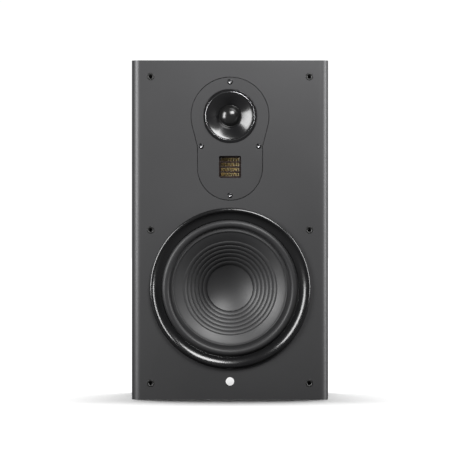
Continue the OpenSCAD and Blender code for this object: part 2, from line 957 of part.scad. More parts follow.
// A plate behind the window whose raised middle fills it and is slotted across.
module ribbon_grid() {
    color([0.20, 0.08, 0.05])
    at_ribbon()
        difference() {
            union() {
                slab(ribbon_w - 2 * ribbon_wall - 0.4, ribbon_h - 2 * ribbon_wall - 0.4, plate_t, plate_t + grid_t);
                translate([0, 0, plate_t - grid_rise])
                    linear_extrude(grid_rise + 0.5)
                        round_rect(window_w - 0.4, window_h - 0.4, window_r - 0.2);
            }
            for (i = [0 : slots - 1])
                translate([0, (i - (slots - 1) / 2) * slot_pitch, 0])
                    slab(slot_w, slot_h, plate_t - grid_rise - cut_extra, plate_t + grid_t + cut_extra);
        }
}

// One sheet of foil folded to and fro across the window, its folds upright.
module ribbon_diaphragm() {
    from = plate_t + grid_t + 0.4;
    count = 2 * pleat_count;
    fold = [for (i = [0 : count]) [(i - count / 2) * pleat_pitch / 2, from + (i % 2 == 0 ? 0 : pleat_depth)]];
    rear = [for (i = [count : -1 : 0]) [fold[i][0], fold[i][1] + foil_t * 2]];
    height = ribbon_h - 2 * ribbon_wall - 1;
    color([0.82, 0.60, 0.22])
    at_ribbon()
        translate([0, height / 2, 0])
            rotate([90, 0, 0])
                linear_extrude(height)
                    polygon(concat(fold, rear));
}

module ribbon_magnets() {
    half = ribbon_w / 2 - ribbon_wall - 0.2;
    inner = pleat_count * pleat_pitch / 2 + 0.8;
    color([0.50, 0.50, 0.52])
    at_ribbon()
        for (side = [-1, 1])
            translate([side * (half + inner) / 2, 0, 0])
                slab(half - inner, ribbon_h - 2 * ribbon_wall - 1, plate_t + grid_t, plate_t + ribbon_d);
}

module ribbon_rear_plate() {
    color([0.55, 0.56, 0.58])
    at_ribbon()
        difference() {
            slab(ribbon_w, ribbon_h, plate_t + ribbon_d, plate_t + ribbon_d + 3);
            for (i = [0 : slots - 1])
                translate([0, (i - (slots - 1) / 2) * slot_pitch, 0])
                    slab(slot_w, slot_h, plate_t + ribbon_d - cut_extra, plate_t + ribbon_d + 3 + cut_extra);
        }
}

// ---------- crossover and cables ----------

board_hole_x = board_w / 2 - 6;
board_hole_y = board_d / 2 - 6;
board_screw_r = 1.5;

module at_board() {
    translate([0, board_y, panel_t])
        children();
}

module crossover_board() {
    color([0.12, 0.32, 0.18])
    at_board()
        translate([0, 0, board_lift])
            difference() {
                slab(board_w, board_d, 0, board_t);
                for (x = [-1, 1], y = [-1, 1])
                    translate([x * board_hole_x, y * board_hole_y, -cut_extra])
                        cylinder(r = board_screw_r + screw_gap, h = board_t + 2 * cut_extra);
            }
}

// Each screw has the sleeve that lifts the board under it.
module crossover_screws() {
    color([0.70, 0.70, 0.70])
    at_board()
        for (x = [-1, 1], y = [-1, 1])
            translate([x * board_hole_x, y * board_hole_y, 0]) {
                cylinder(r = 3, h = board_lift);
                cylinder(r = board_screw_r, h = board_lift + board_t + 1);
                translate([0, 0, board_lift + board_t])
                    cylinder(r = 2.8, h = 2);
            }
}

// Wound coils: [x, y, outer radius, height]
coils = [[-32, 18, 17, 20], [8, 24, 13, 14], [-12, -18, 12, 12]];

module crossover_inductors() {
    color([0.72, 0.38, 0.16])
    translate([0, board_y, board_top])
        for (c = coils)
            translate([c[0], c[1], 0])
                ring(c[2], c[2] * 0.4, 0, c[3]);
}

// Film capacitors lying across the board: [x, y, radius, length]
cans = [[36, 28, 8, 30], [36, 10, 7, 26], [34, -8, 7, 26], [-38, -16, 8, 28]];

module crossover_capacitors() {
    color([0.75, 0.15, 0.12])
    translate([0, board_y, board_top])
        for (c = cans)
            translate([c[0] - c[3] / 2, c[1], c[2]])
                rotate([0, 90, 0])
                    cylinder(r = c[2], h = c[3]);
}

module crossover_resistors() {
    color([0.88, 0.87, 0.83])
    translate([0, board_y, board_top])
        for (y = [-26, -37])
            translate([26, y, 0])
                slab(36, 8, 0, 8);
}

// A point on the curve that leaves a towards b and arrives at d from c.
function bend(a, b, c, d, u) =
    pow(1 - u, 3) * a + 3 * u * pow(1 - u, 2) * b + 3 * u * u * (1 - u) * c + pow(u, 3) * d;

// The direction of that curve.
function heading(a, b, c, d, u) =
    let (v = pow(1 - u, 2) * (b - a) + 2 * u * (1 - u) * (c - b) + u * u * (d - c))
    v / norm(v);

// A round cable along that curve. Every ring of it is square to the curve and level with the x axis.
module cable(a, b, c, d) {
    rings = 20;
    sides = 8;
    points = [for (i = [0 : rings])
        let (
            u = i / rings,
            along = heading(a, b, c, d, u),
            side = cross(along, [1, 0, 0]) / norm(cross(along, [1, 0, 0])),
            up = cross(side, along)
        )
        for (k = [0 : sides - 1])
            bend(a, b, c, d, u) + cable_r * (cos(360 * k / sides) * side + sin(360 * k / sides) * up)];
    walls = [for (i = [0 : rings - 1], k = [0 : sides - 1])
        let (n = (k + 1) % sides)
        [i * sides + k, i * sides + n, (i + 1) * sides + n, (i + 1) * sides + k]];
    first = [for (k = [sides - 1 : -1 : 0]) k];
    last = [for (k = [0 : sides - 1]) rings * sides + k];
    polyhedron(points, concat([first], walls, [last]));
}

module internal_cables() {
    lift = board_top + cable_r + 0.2;
    board_front = board_y - board_d / 2;
    tags = [0, y_front + ledge_depth + 4, woofer_z - ledge_r - 9];
    dome_back = [8, y_front + chamber_depth + 0.3, dome_z - 8];
    ribbon_back = [-8, y_front + plate_t + ribbon_d + 3.3, ribbon_z];
    stud_tip = y_back - stud_inner - 0.3;
    color([0.08, 0.08, 0.08]) {
        cable([-6, board_front + 6, lift], [-6, board_front - 30, lift], tags + [0, 40, -20], tags);
        cable([50, board_y - 36, lift], [62, board_y - 40, 160], dome_back + [0, 60, 0], dome_back);
        cable([-50, board_y - 36, lift], [-62, board_y - 40, 160], ribbon_back + [0, 50, 0], ribbon_back);
        for (side = [-1, 1]) {
            start = [4 * side - 20, board_y + 40, lift];
            post = [side * post_pitch / 2, stud_tip, post_rise];
            cable(start, start + [0, 6, 30], post + [0, -14, 0], post);
        }
    }
}

// ---------- back of the cabinet ----------

// A straight tube whose outer end opens in a quarter-round flare with a thin flange on the back panel.
module port_tube() {
    outer_r = port_r + port_wall;
    flare_out = port_r + flare_r;
    color([0.06, 0.06, 0.06])
    out_of_back(0, port_z)
        rotate_extrude()
            difference() {
                union() {
                    translate([port_r, -port_len])
                        square([port_wall, port_len]);
                    translate([port_r, -flare_r])
                        square([flare_r + port_wall, flare_r + 1.5]);
                    translate([port_r, 0])
                        square([flange_w + port_wall, 1.5]);
                }
                translate([flare_out, -flare_r + 1.5])
                    difference() {
                        translate([-flare_r - cut_extra, 0])
                            square([flare_r + cut_extra, flare_r + cut_extra]);
                        circle(r = flare_r);
                    }
            }
}

module terminal_plate() {
    color([0.07, 0.07, 0.07])
    out_of_back(0, post_rise)
        difference() {
            linear_extrude(terminal_t)
                round_rect(terminal_w, terminal_h, 6);
            for (side = [-1, 1])
                translate([side * post_pitch / 2, 0, -cut_extra])
                    cylinder(r = stud_r + 1.5, h = terminal_t + 2 * cut_extra);
            for (x = [-1, 1], y = [-1, 1])
                translate([x * terminal_screw_x, y * terminal_screw_y, -cut_extra])
                    cylinder(r = terminal_screw_r + screw_gap, h = terminal_t + 2 * cut_extra);
        }
}

module terminal_plate_screws() {
    color([0.15, 0.15, 0.15])
    out_of_back(0, post_rise)
        for (x = [-1, 1], y = [-1, 1])
            translate([x * terminal_screw_x, y * terminal_screw_y, terminal_t])
                difference() {
                    union() {
                        cylinder(r = 3.2, h = 2);
                        translate([0, 0, cut_extra - terminal_screw_len])
                            cylinder(r = terminal_screw_r, h = terminal_screw_len);
                    }
                    slab(3.6, 0.8, 1, 2 + cut_extra);
                    slab(0.8, 3.6, 1, 2 + cut_extra);
                }
}

module post_studs() {
    color([0.85, 0.68, 0.30])
    for (side = [-1, 1])
        out_of_back(side * post_pitch / 2, post_rise)
            difference() {
                translate([0, 0, -stud_inner])
                    cylinder(r = stud_r, h = stud_inner + stud_end);
                translate([0, 0, stud_end - plug_depth])
                    cylinder(r = plug_r, h = plug_depth + cut_extra);
                translate([0, 0, collar_end + 1.8])
                    rotate([90, 0, 0])
                        cylinder(r = 1.2, h = 4 * stud_r, center = true);
            }
}

module post_collars() {
    color([0.10, 0.10, 0.10])
    for (side = [-1, 1])
        out_of_back(side * post_pitch / 2, post_rise)
            difference() {
                union() {
                    translate([0, 0, terminal_t])
                        cylinder(r = post_cap_r - 1, h = collar_end - terminal_t);
                    cylinder(r = stud_r + 1.4, h = terminal_t + 1);
                }
                translate([0, 0, -cut_extra])
                    cylinder(r = stud_r + slip_gap, h = collar_end + 2 * cut_extra);
            }
}

module post_nuts() {
    color([0.80, 0.80, 0.80])
    for (side = [-1, 1])
        out_of_back(side * post_pitch / 2, post_rise)
            translate([0, 0, -5])
                difference() {
                    cylinder(r = 2 * stud_r, h = 5, $fn = 6);
                    translate([0, 0, -cut_extra])
                        cylinder(r = stud_r + slip_gap, h = 5 + 2 * cut_extra);
                }
}

module post_washer(side) {
    out_of_back(side * post_pitch / 2, post_rise)
        ring(post_cap_r - 1.5, stud_r + slip_gap, collar_end, post_cap_start);
}

module red_post_washer() {
    color([0.85, 0.68, 0.30])
    post_washer(-1);
}

module black_post_washer() {
    color([0.85, 0.68, 0.30])
    post_washer(1);
}

module post_cap(side) {
    flutes = 12;
    out_of_back(side * post_pitch / 2, post_rise)
        difference() {
            translate([0, 0, post_cap_start])
                cylinder(r = post_cap_r, h = post_cap_len);
            translate([0, 0, post_cap_start - cut_extra])
                cylinder(r = stud_r + slip_gap, h = post_cap_len + 2 * cut_extra);
            for (i = [0 : flutes - 1])
                rotate([0, 0, i * 360 / flutes])
                    translate([post_cap_r + 0.5, 0, post_cap_start + 3])
                        cylinder(r = 1.2, h = post_cap_len);
        }
}

module red_post_cap() {
    color([0.70, 0.05, 0.05])
    post_cap(-1);
}

module black_post_cap() {
    color([0.06, 0.06, 0.06])
    post_cap(1);
}

front_baffle();
left_side_panel();
right_side_panel();
top_panel();
bottom_panel();
back_panel();
window_brace();
damping_felt();
grille_sockets();
badge();
woofer_trim_ring();
woofer_basket();
woofer_screws();
woofer_surround();
woofer_cone();
dust_cap();
voice_coil_former();
voice_coil_winding();
woofer_spider();
woofer_top_plate();
woofer_magnet();
woofer_yoke();
shorting_ring();
magnet_boot();
woofer_tag_strip();
tinsel_leads();
treble_plate();
treble_plate_screws();
treble_gasket();
waveguide();
waveguide_ring();
tweeter_dome();
tweeter_surround();
tweeter_voice_coil();
tweeter_top_plate();
tweeter_magnet();
tweeter_yoke();
tweeter_rear_chamber();
ribbon_frame();
ribbon_grid();
ribbon_diaphragm();
ribbon_magnets();
ribbon_rear_plate();
crossover_board();
crossover_inductors();
crossover_capacitors();
crossover_resistors();
crossover_screws();
internal_cables();
port_tube();
terminal_plate();
terminal_plate_screws();
post_studs();
post_collars();
post_nuts();
red_post_washer();
black_post_washer();
red_post_cap();
black_post_cap();
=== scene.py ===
from math import radians

import bpy
import numpy as np
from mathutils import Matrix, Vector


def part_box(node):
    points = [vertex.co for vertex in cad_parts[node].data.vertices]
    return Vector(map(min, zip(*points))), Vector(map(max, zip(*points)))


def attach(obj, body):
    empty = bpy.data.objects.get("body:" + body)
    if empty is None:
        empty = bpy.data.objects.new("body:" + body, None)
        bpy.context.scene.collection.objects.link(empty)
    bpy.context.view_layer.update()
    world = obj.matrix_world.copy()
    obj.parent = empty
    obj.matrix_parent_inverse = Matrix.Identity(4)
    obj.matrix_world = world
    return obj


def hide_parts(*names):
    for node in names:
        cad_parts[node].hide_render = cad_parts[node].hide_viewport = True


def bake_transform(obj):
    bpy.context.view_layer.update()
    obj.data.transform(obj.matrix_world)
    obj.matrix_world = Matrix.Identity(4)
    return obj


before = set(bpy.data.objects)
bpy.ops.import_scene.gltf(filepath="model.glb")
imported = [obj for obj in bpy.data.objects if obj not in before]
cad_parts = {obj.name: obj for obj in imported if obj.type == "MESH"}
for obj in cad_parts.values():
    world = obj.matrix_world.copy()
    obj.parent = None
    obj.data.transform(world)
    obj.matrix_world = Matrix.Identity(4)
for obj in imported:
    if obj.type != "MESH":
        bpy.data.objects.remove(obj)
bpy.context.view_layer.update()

MM = 0.001

# -----------------------------------------------------------------------------------------------------------
# Camera. A long lens stands square on to the baffle and level with the middle of the cabinet. It takes in a
# square whose side is about a third longer than the cabinet is high.
baffle_low, baffle_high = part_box("front_baffle")
front_y = baffle_low.y
middle_z = (baffle_low.z + baffle_high.z) / 2
camera_distance = 6.0
view_width = 0.5056
lens = bpy.data.cameras.new("camera")
lens.sensor_width = 36.0
lens.lens = lens.sensor_width * camera_distance / view_width
lens.clip_end = 60.0
camera = bpy.data.objects.new("camera", lens)
camera.location = (0.0, front_y - camera_distance, middle_z)
camera.rotation_euler = (radians(90), 0.0, 0.0)
bpy.context.scene.collection.objects.link(camera)
bpy.context.scene.camera = camera

# -----------------------------------------------------------------------------------------------------------
# Cabinet wrap. Top, bottom and sides are mitred fibreboard, glued into one sleeve, sanded and sprayed
# together with satin charcoal lacquer, so no seam shows at the corners. A fine groove parts the sleeve from
# the baffle.


def solid(name, grids, close_rows=True, sharp=32.0):
    """A closed mesh from grids of points: each cell of a grid is a face between four neighbours, columns run
    round into rings and rows too unless told not to, and points that coincide become one, so a pole is a
    fan."""
    corners, faces, start = [], [], 0
    for points in grids:
        rows, columns = points.shape[:2]
        number = start + np.arange(rows * columns).reshape(rows, columns)
        if close_rows:
            number = np.vstack([number, number[:1]])
        number = np.hstack([number, number[:, :1]])
        cell = np.stack([number[:-1, :-1], number[1:, :-1], number[1:, 1:], number[:-1, 1:]], -1)
        faces.append(cell.reshape(-1, 4))
        corners.append(points.reshape(-1, 3))
        start += rows * columns
    corners = np.vstack(corners)
    faces = np.vstack(faces)
    _, first, same = np.unique(np.round(corners, 7), axis=0, return_index=True, return_inverse=True)
    corners = corners[first]
    faces = same.ravel()[faces]
    differs = faces != np.roll(faces, -1, axis=1)
    quads = faces[differs.all(1)]
    pointed = differs.sum(1) == 3
    triangles = faces[pointed][differs[pointed]].reshape(-1, 3)
    halves = np.vstack([quads[:, [0, 1, 2]], quads[:, [0, 2, 3]], triangles])
    a, b, c = (corners[halves[:, k]] for k in range(3))
    if (a * np.cross(b, c)).sum() < 0:
        quads, triangles = quads[:, ::-1], triangles[:, ::-1]
    mesh = bpy.data.meshes.new(name)
    mesh.from_pydata(corners, [], quads.tolist() + triangles.tolist())
    mesh.shade_smooth()
    mesh.set_sharp_from_angle(angle=radians(sharp))
    piece = bpy.data.objects.new(name, mesh)
    bpy.context.scene.collection.objects.link(piece)
    return piece


def rounded(corners, radii, steps=6):
    """Rounds the corners of an outline: each corner is swapped for an arc of its own radius, whose centre
    lies on the bisector at radius over the sine of the half angle, and whose ends touch both sides."""
    here = np.asarray(corners, float)
    radius = np.broadcast_to(np.asarray(radii, float), len(here))[:, None]
    back = np.roll(here, 1, axis=0) - here
    ahead = np.roll(here, -1, axis=0) - here
    back = back / np.linalg.norm(back, axis=1, keepdims=True)
    ahead = ahead / np.linalg.norm(ahead, axis=1, keepdims=True)
    half = np.arccos(np.clip((back * ahead).sum(1, keepdims=True), -0.999999, 0.999999)) / 2
    bisector = back + ahead
    bisector = bisector / np.maximum(np.linalg.norm(bisector, axis=1, keepdims=True), 1e-9)
    centre = here + bisector * radius / np.sin(half)
    first = here + back * radius / np.tan(half) - centre
    last = here + ahead * radius / np.tan(half) - centre
    begin = np.arctan2(first[:, 1], first[:, 0])
    turn = np.arctan2(last[:, 1], last[:, 0]) - begin
    turn = (turn + np.pi) % (2 * np.pi) - np.pi
    angle = begin[:, None] + turn[:, None] * np.linspace(0, 1, steps)
    arc = centre[:, None] + radius[:, None] * np.stack([np.cos(angle), np.sin(angle)], -1)
    return arc.reshape(-1, 2)


def surface_group():
    """Colour, roughness and height that wander over a surface: a slow noise makes clouds in the colour and
    in the roughness, and a fine noise makes the grain that the height carries."""
    group = bpy.data.node_groups.new("grained_surface", "ShaderNodeTree")
    face = group.interface
    face.new_socket("Colour", in_out="INPUT", socket_type="NodeSocketColor")
    for title in ("Colour Spread", "Roughness", "Roughness Spread", "Grain", "Cloud"):
        face.new_socket(title, in_out="INPUT", socket_type="NodeSocketFloat")
    face.new_socket("Colour", in_out="OUTPUT", socket_type="NodeSocketColor")
    face.new_socket("Roughness", in_out="OUTPUT", socket_type="NodeSocketFloat")
    face.new_socket("Height", in_out="OUTPUT", socket_type="NodeSocketFloat")
    new, link = group.nodes.new, group.links.new
    given, given_out = new("NodeGroupInput"), new("NodeGroupOutput")
    place = new("ShaderNodeTexCoord")
    slow, fine = new("ShaderNodeTexNoise"), new("ShaderNodeTexNoise")
    slow.inputs["Detail"].default_value = 3.0
    fine.inputs["Detail"].default_value = 2.0
    link(place.outputs["Object"], slow.inputs["Vector"])
    link(place.outputs["Object"], fine.inputs["Vector"])
    link(given.outputs["Cloud"], slow.inputs["Scale"])
    link(given.outputs["Grain"], fine.inputs["Scale"])
    grain_share = 0.4
    mixed = new("ShaderNodeMath")
    mixed.operation = "MULTIPLY_ADD"
    mixed.inputs[1].default_value = grain_share
    link(fine.outputs["Fac"], mixed.inputs[0])
    link(slow.outputs["Fac"], mixed.inputs[2])
    centred = new("ShaderNodeMath")
    centred.operation = "SUBTRACT"
    centred.inputs[1].default_value = 0.5 * (1 + grain_share)
    link(mixed.outputs[0], centred.inputs[0])
    gain = new("ShaderNodeMath")
    gain.operation = "MULTIPLY_ADD"
    gain.inputs[2].default_value = 1.0
    link(centred.outputs[0], gain.inputs[0])
    link(given.outputs["Colour Spread"], gain.inputs[1])
    tint = new("ShaderNodeVectorMath")
    tint.operation = "SCALE"
    link(given.outputs["Colour"], tint.inputs[0])
    link(gain.outputs[0], tint.inputs["Scale"])
    rough = new("ShaderNodeMath")
    rough.operation = "MULTIPLY_ADD"
    link(centred.outputs[0], rough.inputs[0])
    link(given.outputs["Roughness Spread"], rough.inputs[1])
    link(given.outputs["Roughness"], rough.inputs[2])
    link(tint.outputs[0], given_out.inputs["Colour"])
    link(rough.outputs[0], given_out.inputs["Roughness"])
    link(fine.outputs["Fac"], given_out.inputs["Height"])
    return group


grained_surface = surface_group()


def finish(name, colour, roughness, colour_spread=0.12, roughness_spread=0.10, grain=900.0, cloud=14.0,
           bump=0.15, metallic=0.0, coat=0.0, coat_roughness=0.05, sheen=0.0, specular=0.5):
    """A material on the grained surface: its group feeds colour, roughness and bump, and the constants of
    the shader are set on the shader."""
    deepest_grain = 0.2 * MM
    material = bpy.data.materials.new(name)
    material.use_nodes = True
    tree = material.node_tree
    shader = tree.nodes["Principled BSDF"]
    skin = tree.nodes.new("ShaderNodeGroup")
    skin.node_tree = grained_surface
    skin.inputs["Colour"].default_value = (*colour, 1.0)
    skin.inputs["Colour Spread"].default_value = colour_spread
    skin.inputs["Roughness"].default_value = roughness
    skin.inputs["Roughness Spread"].default_value = roughness_spread
    skin.inputs["Grain"].default_value = grain
    skin.inputs["Cloud"].default_value = cloud
    relief = tree.nodes.new("ShaderNodeBump")
    relief.inputs["Strength"].default_value = bump
    relief.inputs["Distance"].default_value = deepest_grain
    tree.links.new(skin.outputs["Colour"], shader.inputs["Base Color"])
    tree.links.new(skin.outputs["Roughness"], shader.inputs["Roughness"])
    tree.links.new(skin.outputs["Height"], relief.inputs["Height"])
    tree.links.new(relief.outputs["Normal"], shader.inputs["Normal"])
    shader.inputs["Metallic"].default_value = metallic
    shader.inputs["Coat Weight"].default_value = coat
    shader.inputs["Coat Roughness"].default_value = coat_roughness
    shader.inputs["Sheen Weight"].default_value = sheen
    shader.inputs["Specular IOR Level"].default_value = specular
    return material


def fitted(piece, material, slot, body, *nodes):
    """Gives a new piece its material, hangs it on its body and hides the imported nodes it stands in for.
    The slot is not used.
    """
    piece.data.materials.append(material)
    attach(piece, body)
    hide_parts(*nodes)
    return piece


charcoal_lacquer = finish("charcoal_lacquer", (0.075, 0.075, 0.077), 0.46, colour_spread=0.10,
                          grain=1400.0, cloud=9.0, bump=0.10, metallic=0.6)
wrap_low, wrap_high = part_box("left_side_panel")
wall = wrap_high.x - wrap_low.x
half_w = -wrap_low.x
corner_r = 1.4 * MM
groove = 0.5 * MM
inner_edge_r = 0.3 * MM
# how far in from the outside, and at what depth, each corner of the sleeve's wall lies
wall_outline = rounded(
    [(groove, wrap_low.y), (0, wrap_low.y + groove), (0, wrap_high.y), (wall, wrap_high.y),
     (wall, wrap_low.y)],
    [0, 0, corner_r, inner_edge_r, 0],
)


def sleeve(inset, depth, half_x, low_z, high_z, radius, steps=7):
    """Carries a wall's outline round a rectangle with round corners: a point inset by d runs along the
    rectangle shrunk by d, whose corner radius is what is left of the radius after d."""
    inset = inset[:, None]
    left = np.maximum(radius - inset, 0.01 * MM)
    quarter = np.arange(4)[:, None] * np.pi / 2 + np.linspace(0, np.pi / 2, steps)
    quarter = quarter.reshape(1, -1)
    to_right = np.repeat([1, -1, -1, 1], steps)
    to_top = np.repeat([1, 1, -1, -1], steps)
    half_z, mid_z = (high_z - low_z) / 2, (high_z + low_z) / 2
    x = to_right * (half_x - inset - left) + left * np.cos(quarter)
    z = mid_z + to_top * (half_z - inset - left) + left * np.sin(quarter)
    return np.stack([x, np.broadcast_to(depth[:, None], x.shape), z], -1)


cabinet_wrap = solid("cabinet_wrap", [
    sleeve(wall_outline[:, 0], wall_outline[:, 1], half_w, wrap_low.z, wrap_high.z, corner_r)])
fitted(cabinet_wrap, charcoal_lacquer, "cabinet_paint", "cabinet",
       "left_side_panel", "right_side_panel", "top_panel", "bottom_panel")

# -----------------------------------------------------------------------------------------------------------
# Front baffle and back panel. Both are milled fibreboard in the same lacquer; the milled edges of the driver
# openings and the rims of the boards are broken with abrasive before spraying, so each edge catches a thin
# light.


def softened(node, name, edge, steps=3):
    """A copy of a milled board: its corners are merged, its flat faces joined, and every sharp edge is
    rounded."""
    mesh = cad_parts[node].data
    points = np.empty(len(mesh.vertices) * 3)
    mesh.vertices.foreach_get("co", points)
    corner = np.empty(len(mesh.loops), int)
    mesh.loops.foreach_get("vertex_index", corner)
    points = points.reshape(-1, 3)
    _, first, same = np.unique(np.round(points, 6), axis=0, return_index=True, return_inverse=True)
    triangles = same.ravel()[corner.reshape(-1, 3)]
    whole = (triangles != np.roll(triangles, 1, axis=1)).all(1)
    copy = bpy.data.meshes.new(name)
    copy.from_pydata(points[first], [], triangles[whole].tolist())
    copy.shade_smooth()
    copy.set_sharp_from_angle(angle=radians(30))
    piece = bpy.data.objects.new(name, copy)
    bpy.context.scene.collection.objects.link(piece)
    flat = piece.modifiers.new("flat_faces", "DECIMATE")
    flat.decimate_type = "DISSOLVE"
    flat.angle_limit = radians(0.5)
    soft = piece.modifiers.new("broken_edges", "BEVEL")
    soft.width = edge
    soft.segments = steps
    soft.limit_method = "ANGLE"
    soft.angle_limit = radians(40)
    soft.harden_normals = True
    return piece


fitted(softened("front_baffle", "baffle", edge=0.6 * MM), charcoal_lacquer, "cabinet_paint", "cabinet",
       "front_baffle")
fitted(softened("back_panel", "back_board", edge=0.4 * MM), charcoal_lacquer, "cabinet_paint", "cabinet",
       "back_panel")

# -----------------------------------------------------------------------------------------------------------
# Window brace and damping felt. Inside the box a raw fibreboard shelf with a cut-out ties the walls
# together, and grey needled felt is stapled to the walls.


def dressed(material, *nodes):
    """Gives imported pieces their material."""
    for node in nodes:
        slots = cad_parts[node].data.materials
        slots.clear()
        slots.append(material)


raw_board = finish("raw_board", (0.42, 0.30, 0.18), 0.85, colour_spread=0.5, grain=700.0, cloud=60.0,
                   bump=0.5)
needled_felt = finish("needled_felt", (0.16, 0.16, 0.15), 0.95, colour_spread=0.9, grain=1600.0, cloud=120.0,
                      bump=1.0, sheen=0.4)
dressed(raw_board, "window_brace")
dressed(needled_felt, "damping_felt")

# -----------------------------------------------------------------------------------------------------------
# Grille sockets. Six turned black plastic bushings pressed flush into the baffle; the grille's pegs push
# into their blind holes. Each has a narrow rounded rim.


def turned(radius, depth, centre, count=144):
    """Turns an outline about an axis that runs into the cabinet: each point goes round the centre at its own
    radius, which may change with the angle, and lies at its depth behind the baffle's face."""
    angle = np.arange(count) * 2 * np.pi / count
    radius = np.asarray(radius, float)
    if radius.ndim == 1:
        radius = radius[:, None]
    x = centre[0] + radius * np.sin(angle)
    z = centre[2] + radius * np.cos(angle)
    y = centre[1] + np.broadcast_to(np.asarray(depth, float)[:, None], x.shape)
    return np.stack([x, y, z], -1)


moulded_black = finish("moulded_black", (0.018, 0.018, 0.018), 0.38, colour_spread=0.25, grain=2600.0,
                       cloud=60.0, bump=0.22)
socket_low, socket_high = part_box("grille_sockets")
peg_r, peg_depth, mouth_w, mouth_drop = 1.9 * MM, 12 * MM, 0.9 * MM, 0.7 * MM
socket_r, socket_depth = 4.15 * MM, 14 * MM
socket_outline = rounded(
    [(0, socket_depth), (socket_r, socket_depth), (socket_r, 0), (peg_r + mouth_w, 0), (peg_r, mouth_drop),
     (peg_r, peg_depth), (0, peg_depth)],
    [0, 0.3 * MM, 0.5 * MM, 0.3 * MM, 0.3 * MM, 0, 0],
)
socket_x = socket_high.x - socket_r
sockets = [
    turned(socket_outline[:, 0], socket_outline[:, 1], (side * socket_x, front_y, z), count=48)
    for side in (-1, 1)
    for z in (socket_low.z + socket_r, middle_z, socket_high.z - socket_r)
]
fitted(solid("grille_bushings", sockets), moulded_black, "black_plastic", "cabinet", "grille_sockets")

# -----------------------------------------------------------------------------------------------------------
# Badge. A plain disc of thin metal with a gently crowned face, enamelled white. It is glued to the baffle's
# face below the woofer.
badge_low, badge_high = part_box("badge")
badge_r = (badge_high.x - badge_low.x) / 2
badge_t = badge_high.y - badge_low.y
badge_bevel, badge_rim = 0.1 * MM, 0.45 * MM
badge_rise = np.linspace(0, 1, 8)
badge_outline = np.vstack([
    [(0, 0), (badge_r - badge_bevel, 0), (badge_r, -badge_bevel)],
    np.stack([badge_r * (1 - badge_rise ** 2), -badge_rim - (badge_t - badge_rim) * badge_rise], -1),
])
white_enamel = finish("white_enamel", (0.86, 0.86, 0.86), 0.25, colour_spread=0.03, bump=0.04, coat=0.6)
badge_centre = (0.0, front_y, (badge_low.z + badge_high.z) / 2)
fitted(solid("badge_disc", [turned(badge_outline[:, 0], badge_outline[:, 1], badge_centre, count=64)]),
       white_enamel, "badge_enamel", "cabinet", "badge")

# -----------------------------------------------------------------------------------------------------------
# Woofer chassis. A die-cast aluminium basket in black powder coat, screwed into the baffle, with a ferrite
# ring magnet clamped between two plated steel plates and a rubber boot stretched over the magnet.
powder_coat = finish("powder_coat", (0.020, 0.020, 0.022), 0.55, colour_spread=0.2, grain=1800.0, bump=0.45)
black_oxide = finish("black_oxide", (0.030, 0.030, 0.032), 0.32, colour_spread=0.3, metallic=0.9, bump=0.10)
plated_steel = finish("plated_steel", (0.50, 0.51, 0.53), 0.30, colour_spread=0.2, metallic=1.0, grain=500.0)
ferrite = finish("ferrite", (0.055, 0.055, 0.060), 0.60, colour_spread=0.4, metallic=0.4, grain=1200.0,
                 bump=0.5)
boot_rubber = finish("boot_rubber", (0.016, 0.016, 0.016), 0.62, colour_spread=0.3, bump=0.25)
phenolic_strip = finish("phenolic_strip", (0.30, 0.17, 0.06), 0.5, colour_spread=0.4, grain=600.0)
dressed(powder_coat, "woofer_basket")
dressed(black_oxide, "woofer_screws", "terminal_plate_screws")
dressed(plated_steel, "woofer_top_plate", "woofer_yoke", "tweeter_top_plate", "tweeter_yoke",
        "ribbon_magnets", "ribbon_rear_plate", "post_nuts", "crossover_screws")
dressed(ferrite, "woofer_magnet", "tweeter_magnet")
dressed(boot_rubber, "magnet_boot")
dressed(phenolic_strip, "woofer_tag_strip")

# -----------------------------------------------------------------------------------------------------------
# Voice coils and shorting ring. Enamelled copper wire wound tight on film formers, one turn beside the next,
# and a copper sleeve at the foot of the woofer's pole.


def striped_group():
    """Height that repeats along the drivers' axis: a sine wave of depth gives one ridge for each turn."""
    group = bpy.data.node_groups.new("wound_turns", "ShaderNodeTree")
    face = group.interface
    face.new_socket("Turns", in_out="INPUT", socket_type="NodeSocketFloat")
    face.new_socket("Height", in_out="OUTPUT", socket_type="NodeSocketFloat")
    new, link = group.nodes.new, group.links.new
    given, given_out = new("NodeGroupInput"), new("NodeGroupOutput")
    place, split = new("ShaderNodeTexCoord"), new("ShaderNodeSeparateXYZ")
    link(place.outputs["Object"], split.inputs[0])
    phase, wave = new("ShaderNodeMath"), new("ShaderNodeMath")
    phase.operation, wave.operation = "MULTIPLY", "SINE"
    link(split.outputs["Y"], phase.inputs[0])
    link(given.outputs["Turns"], phase.inputs[1])
    link(phase.outputs[0], wave.inputs[0])
    link(wave.outputs[0], given_out.inputs["Height"])
    return group


wound_turns = striped_group()


def wound(name, colour, roughness, wire):
    """A metallic finish whose bump follows turns of wire of the given thickness."""
    material = finish(name, colour, roughness, colour_spread=0.35, metallic=0.85, grain=1500.0)
    tree = material.node_tree
    turns = tree.nodes.new("ShaderNodeGroup")
    turns.node_tree = wound_turns
    turns.inputs["Turns"].default_value = 2 * np.pi / wire
    relief = tree.nodes["Bump"]
    relief.inputs["Strength"].default_value = 0.8
    tree.links.new(turns.outputs["Height"], relief.inputs["Height"])
    return material


copper_winding = wound("copper_winding", (0.62, 0.26, 0.11), roughness=0.35, wire=0.35 * MM)
thick_copper = wound("thick_copper", (0.66, 0.30, 0.13), roughness=0.32, wire=1.2 * MM)
former_film = finish("former_film", (0.48, 0.28, 0.08), 0.35, colour_spread=0.15, bump=0.05)
dressed(copper_winding, "voice_coil_winding", "tweeter_voice_coil", "shorting_ring")
dressed(thick_copper, "crossover_inductors")
dressed(former_film, "voice_coil_former")

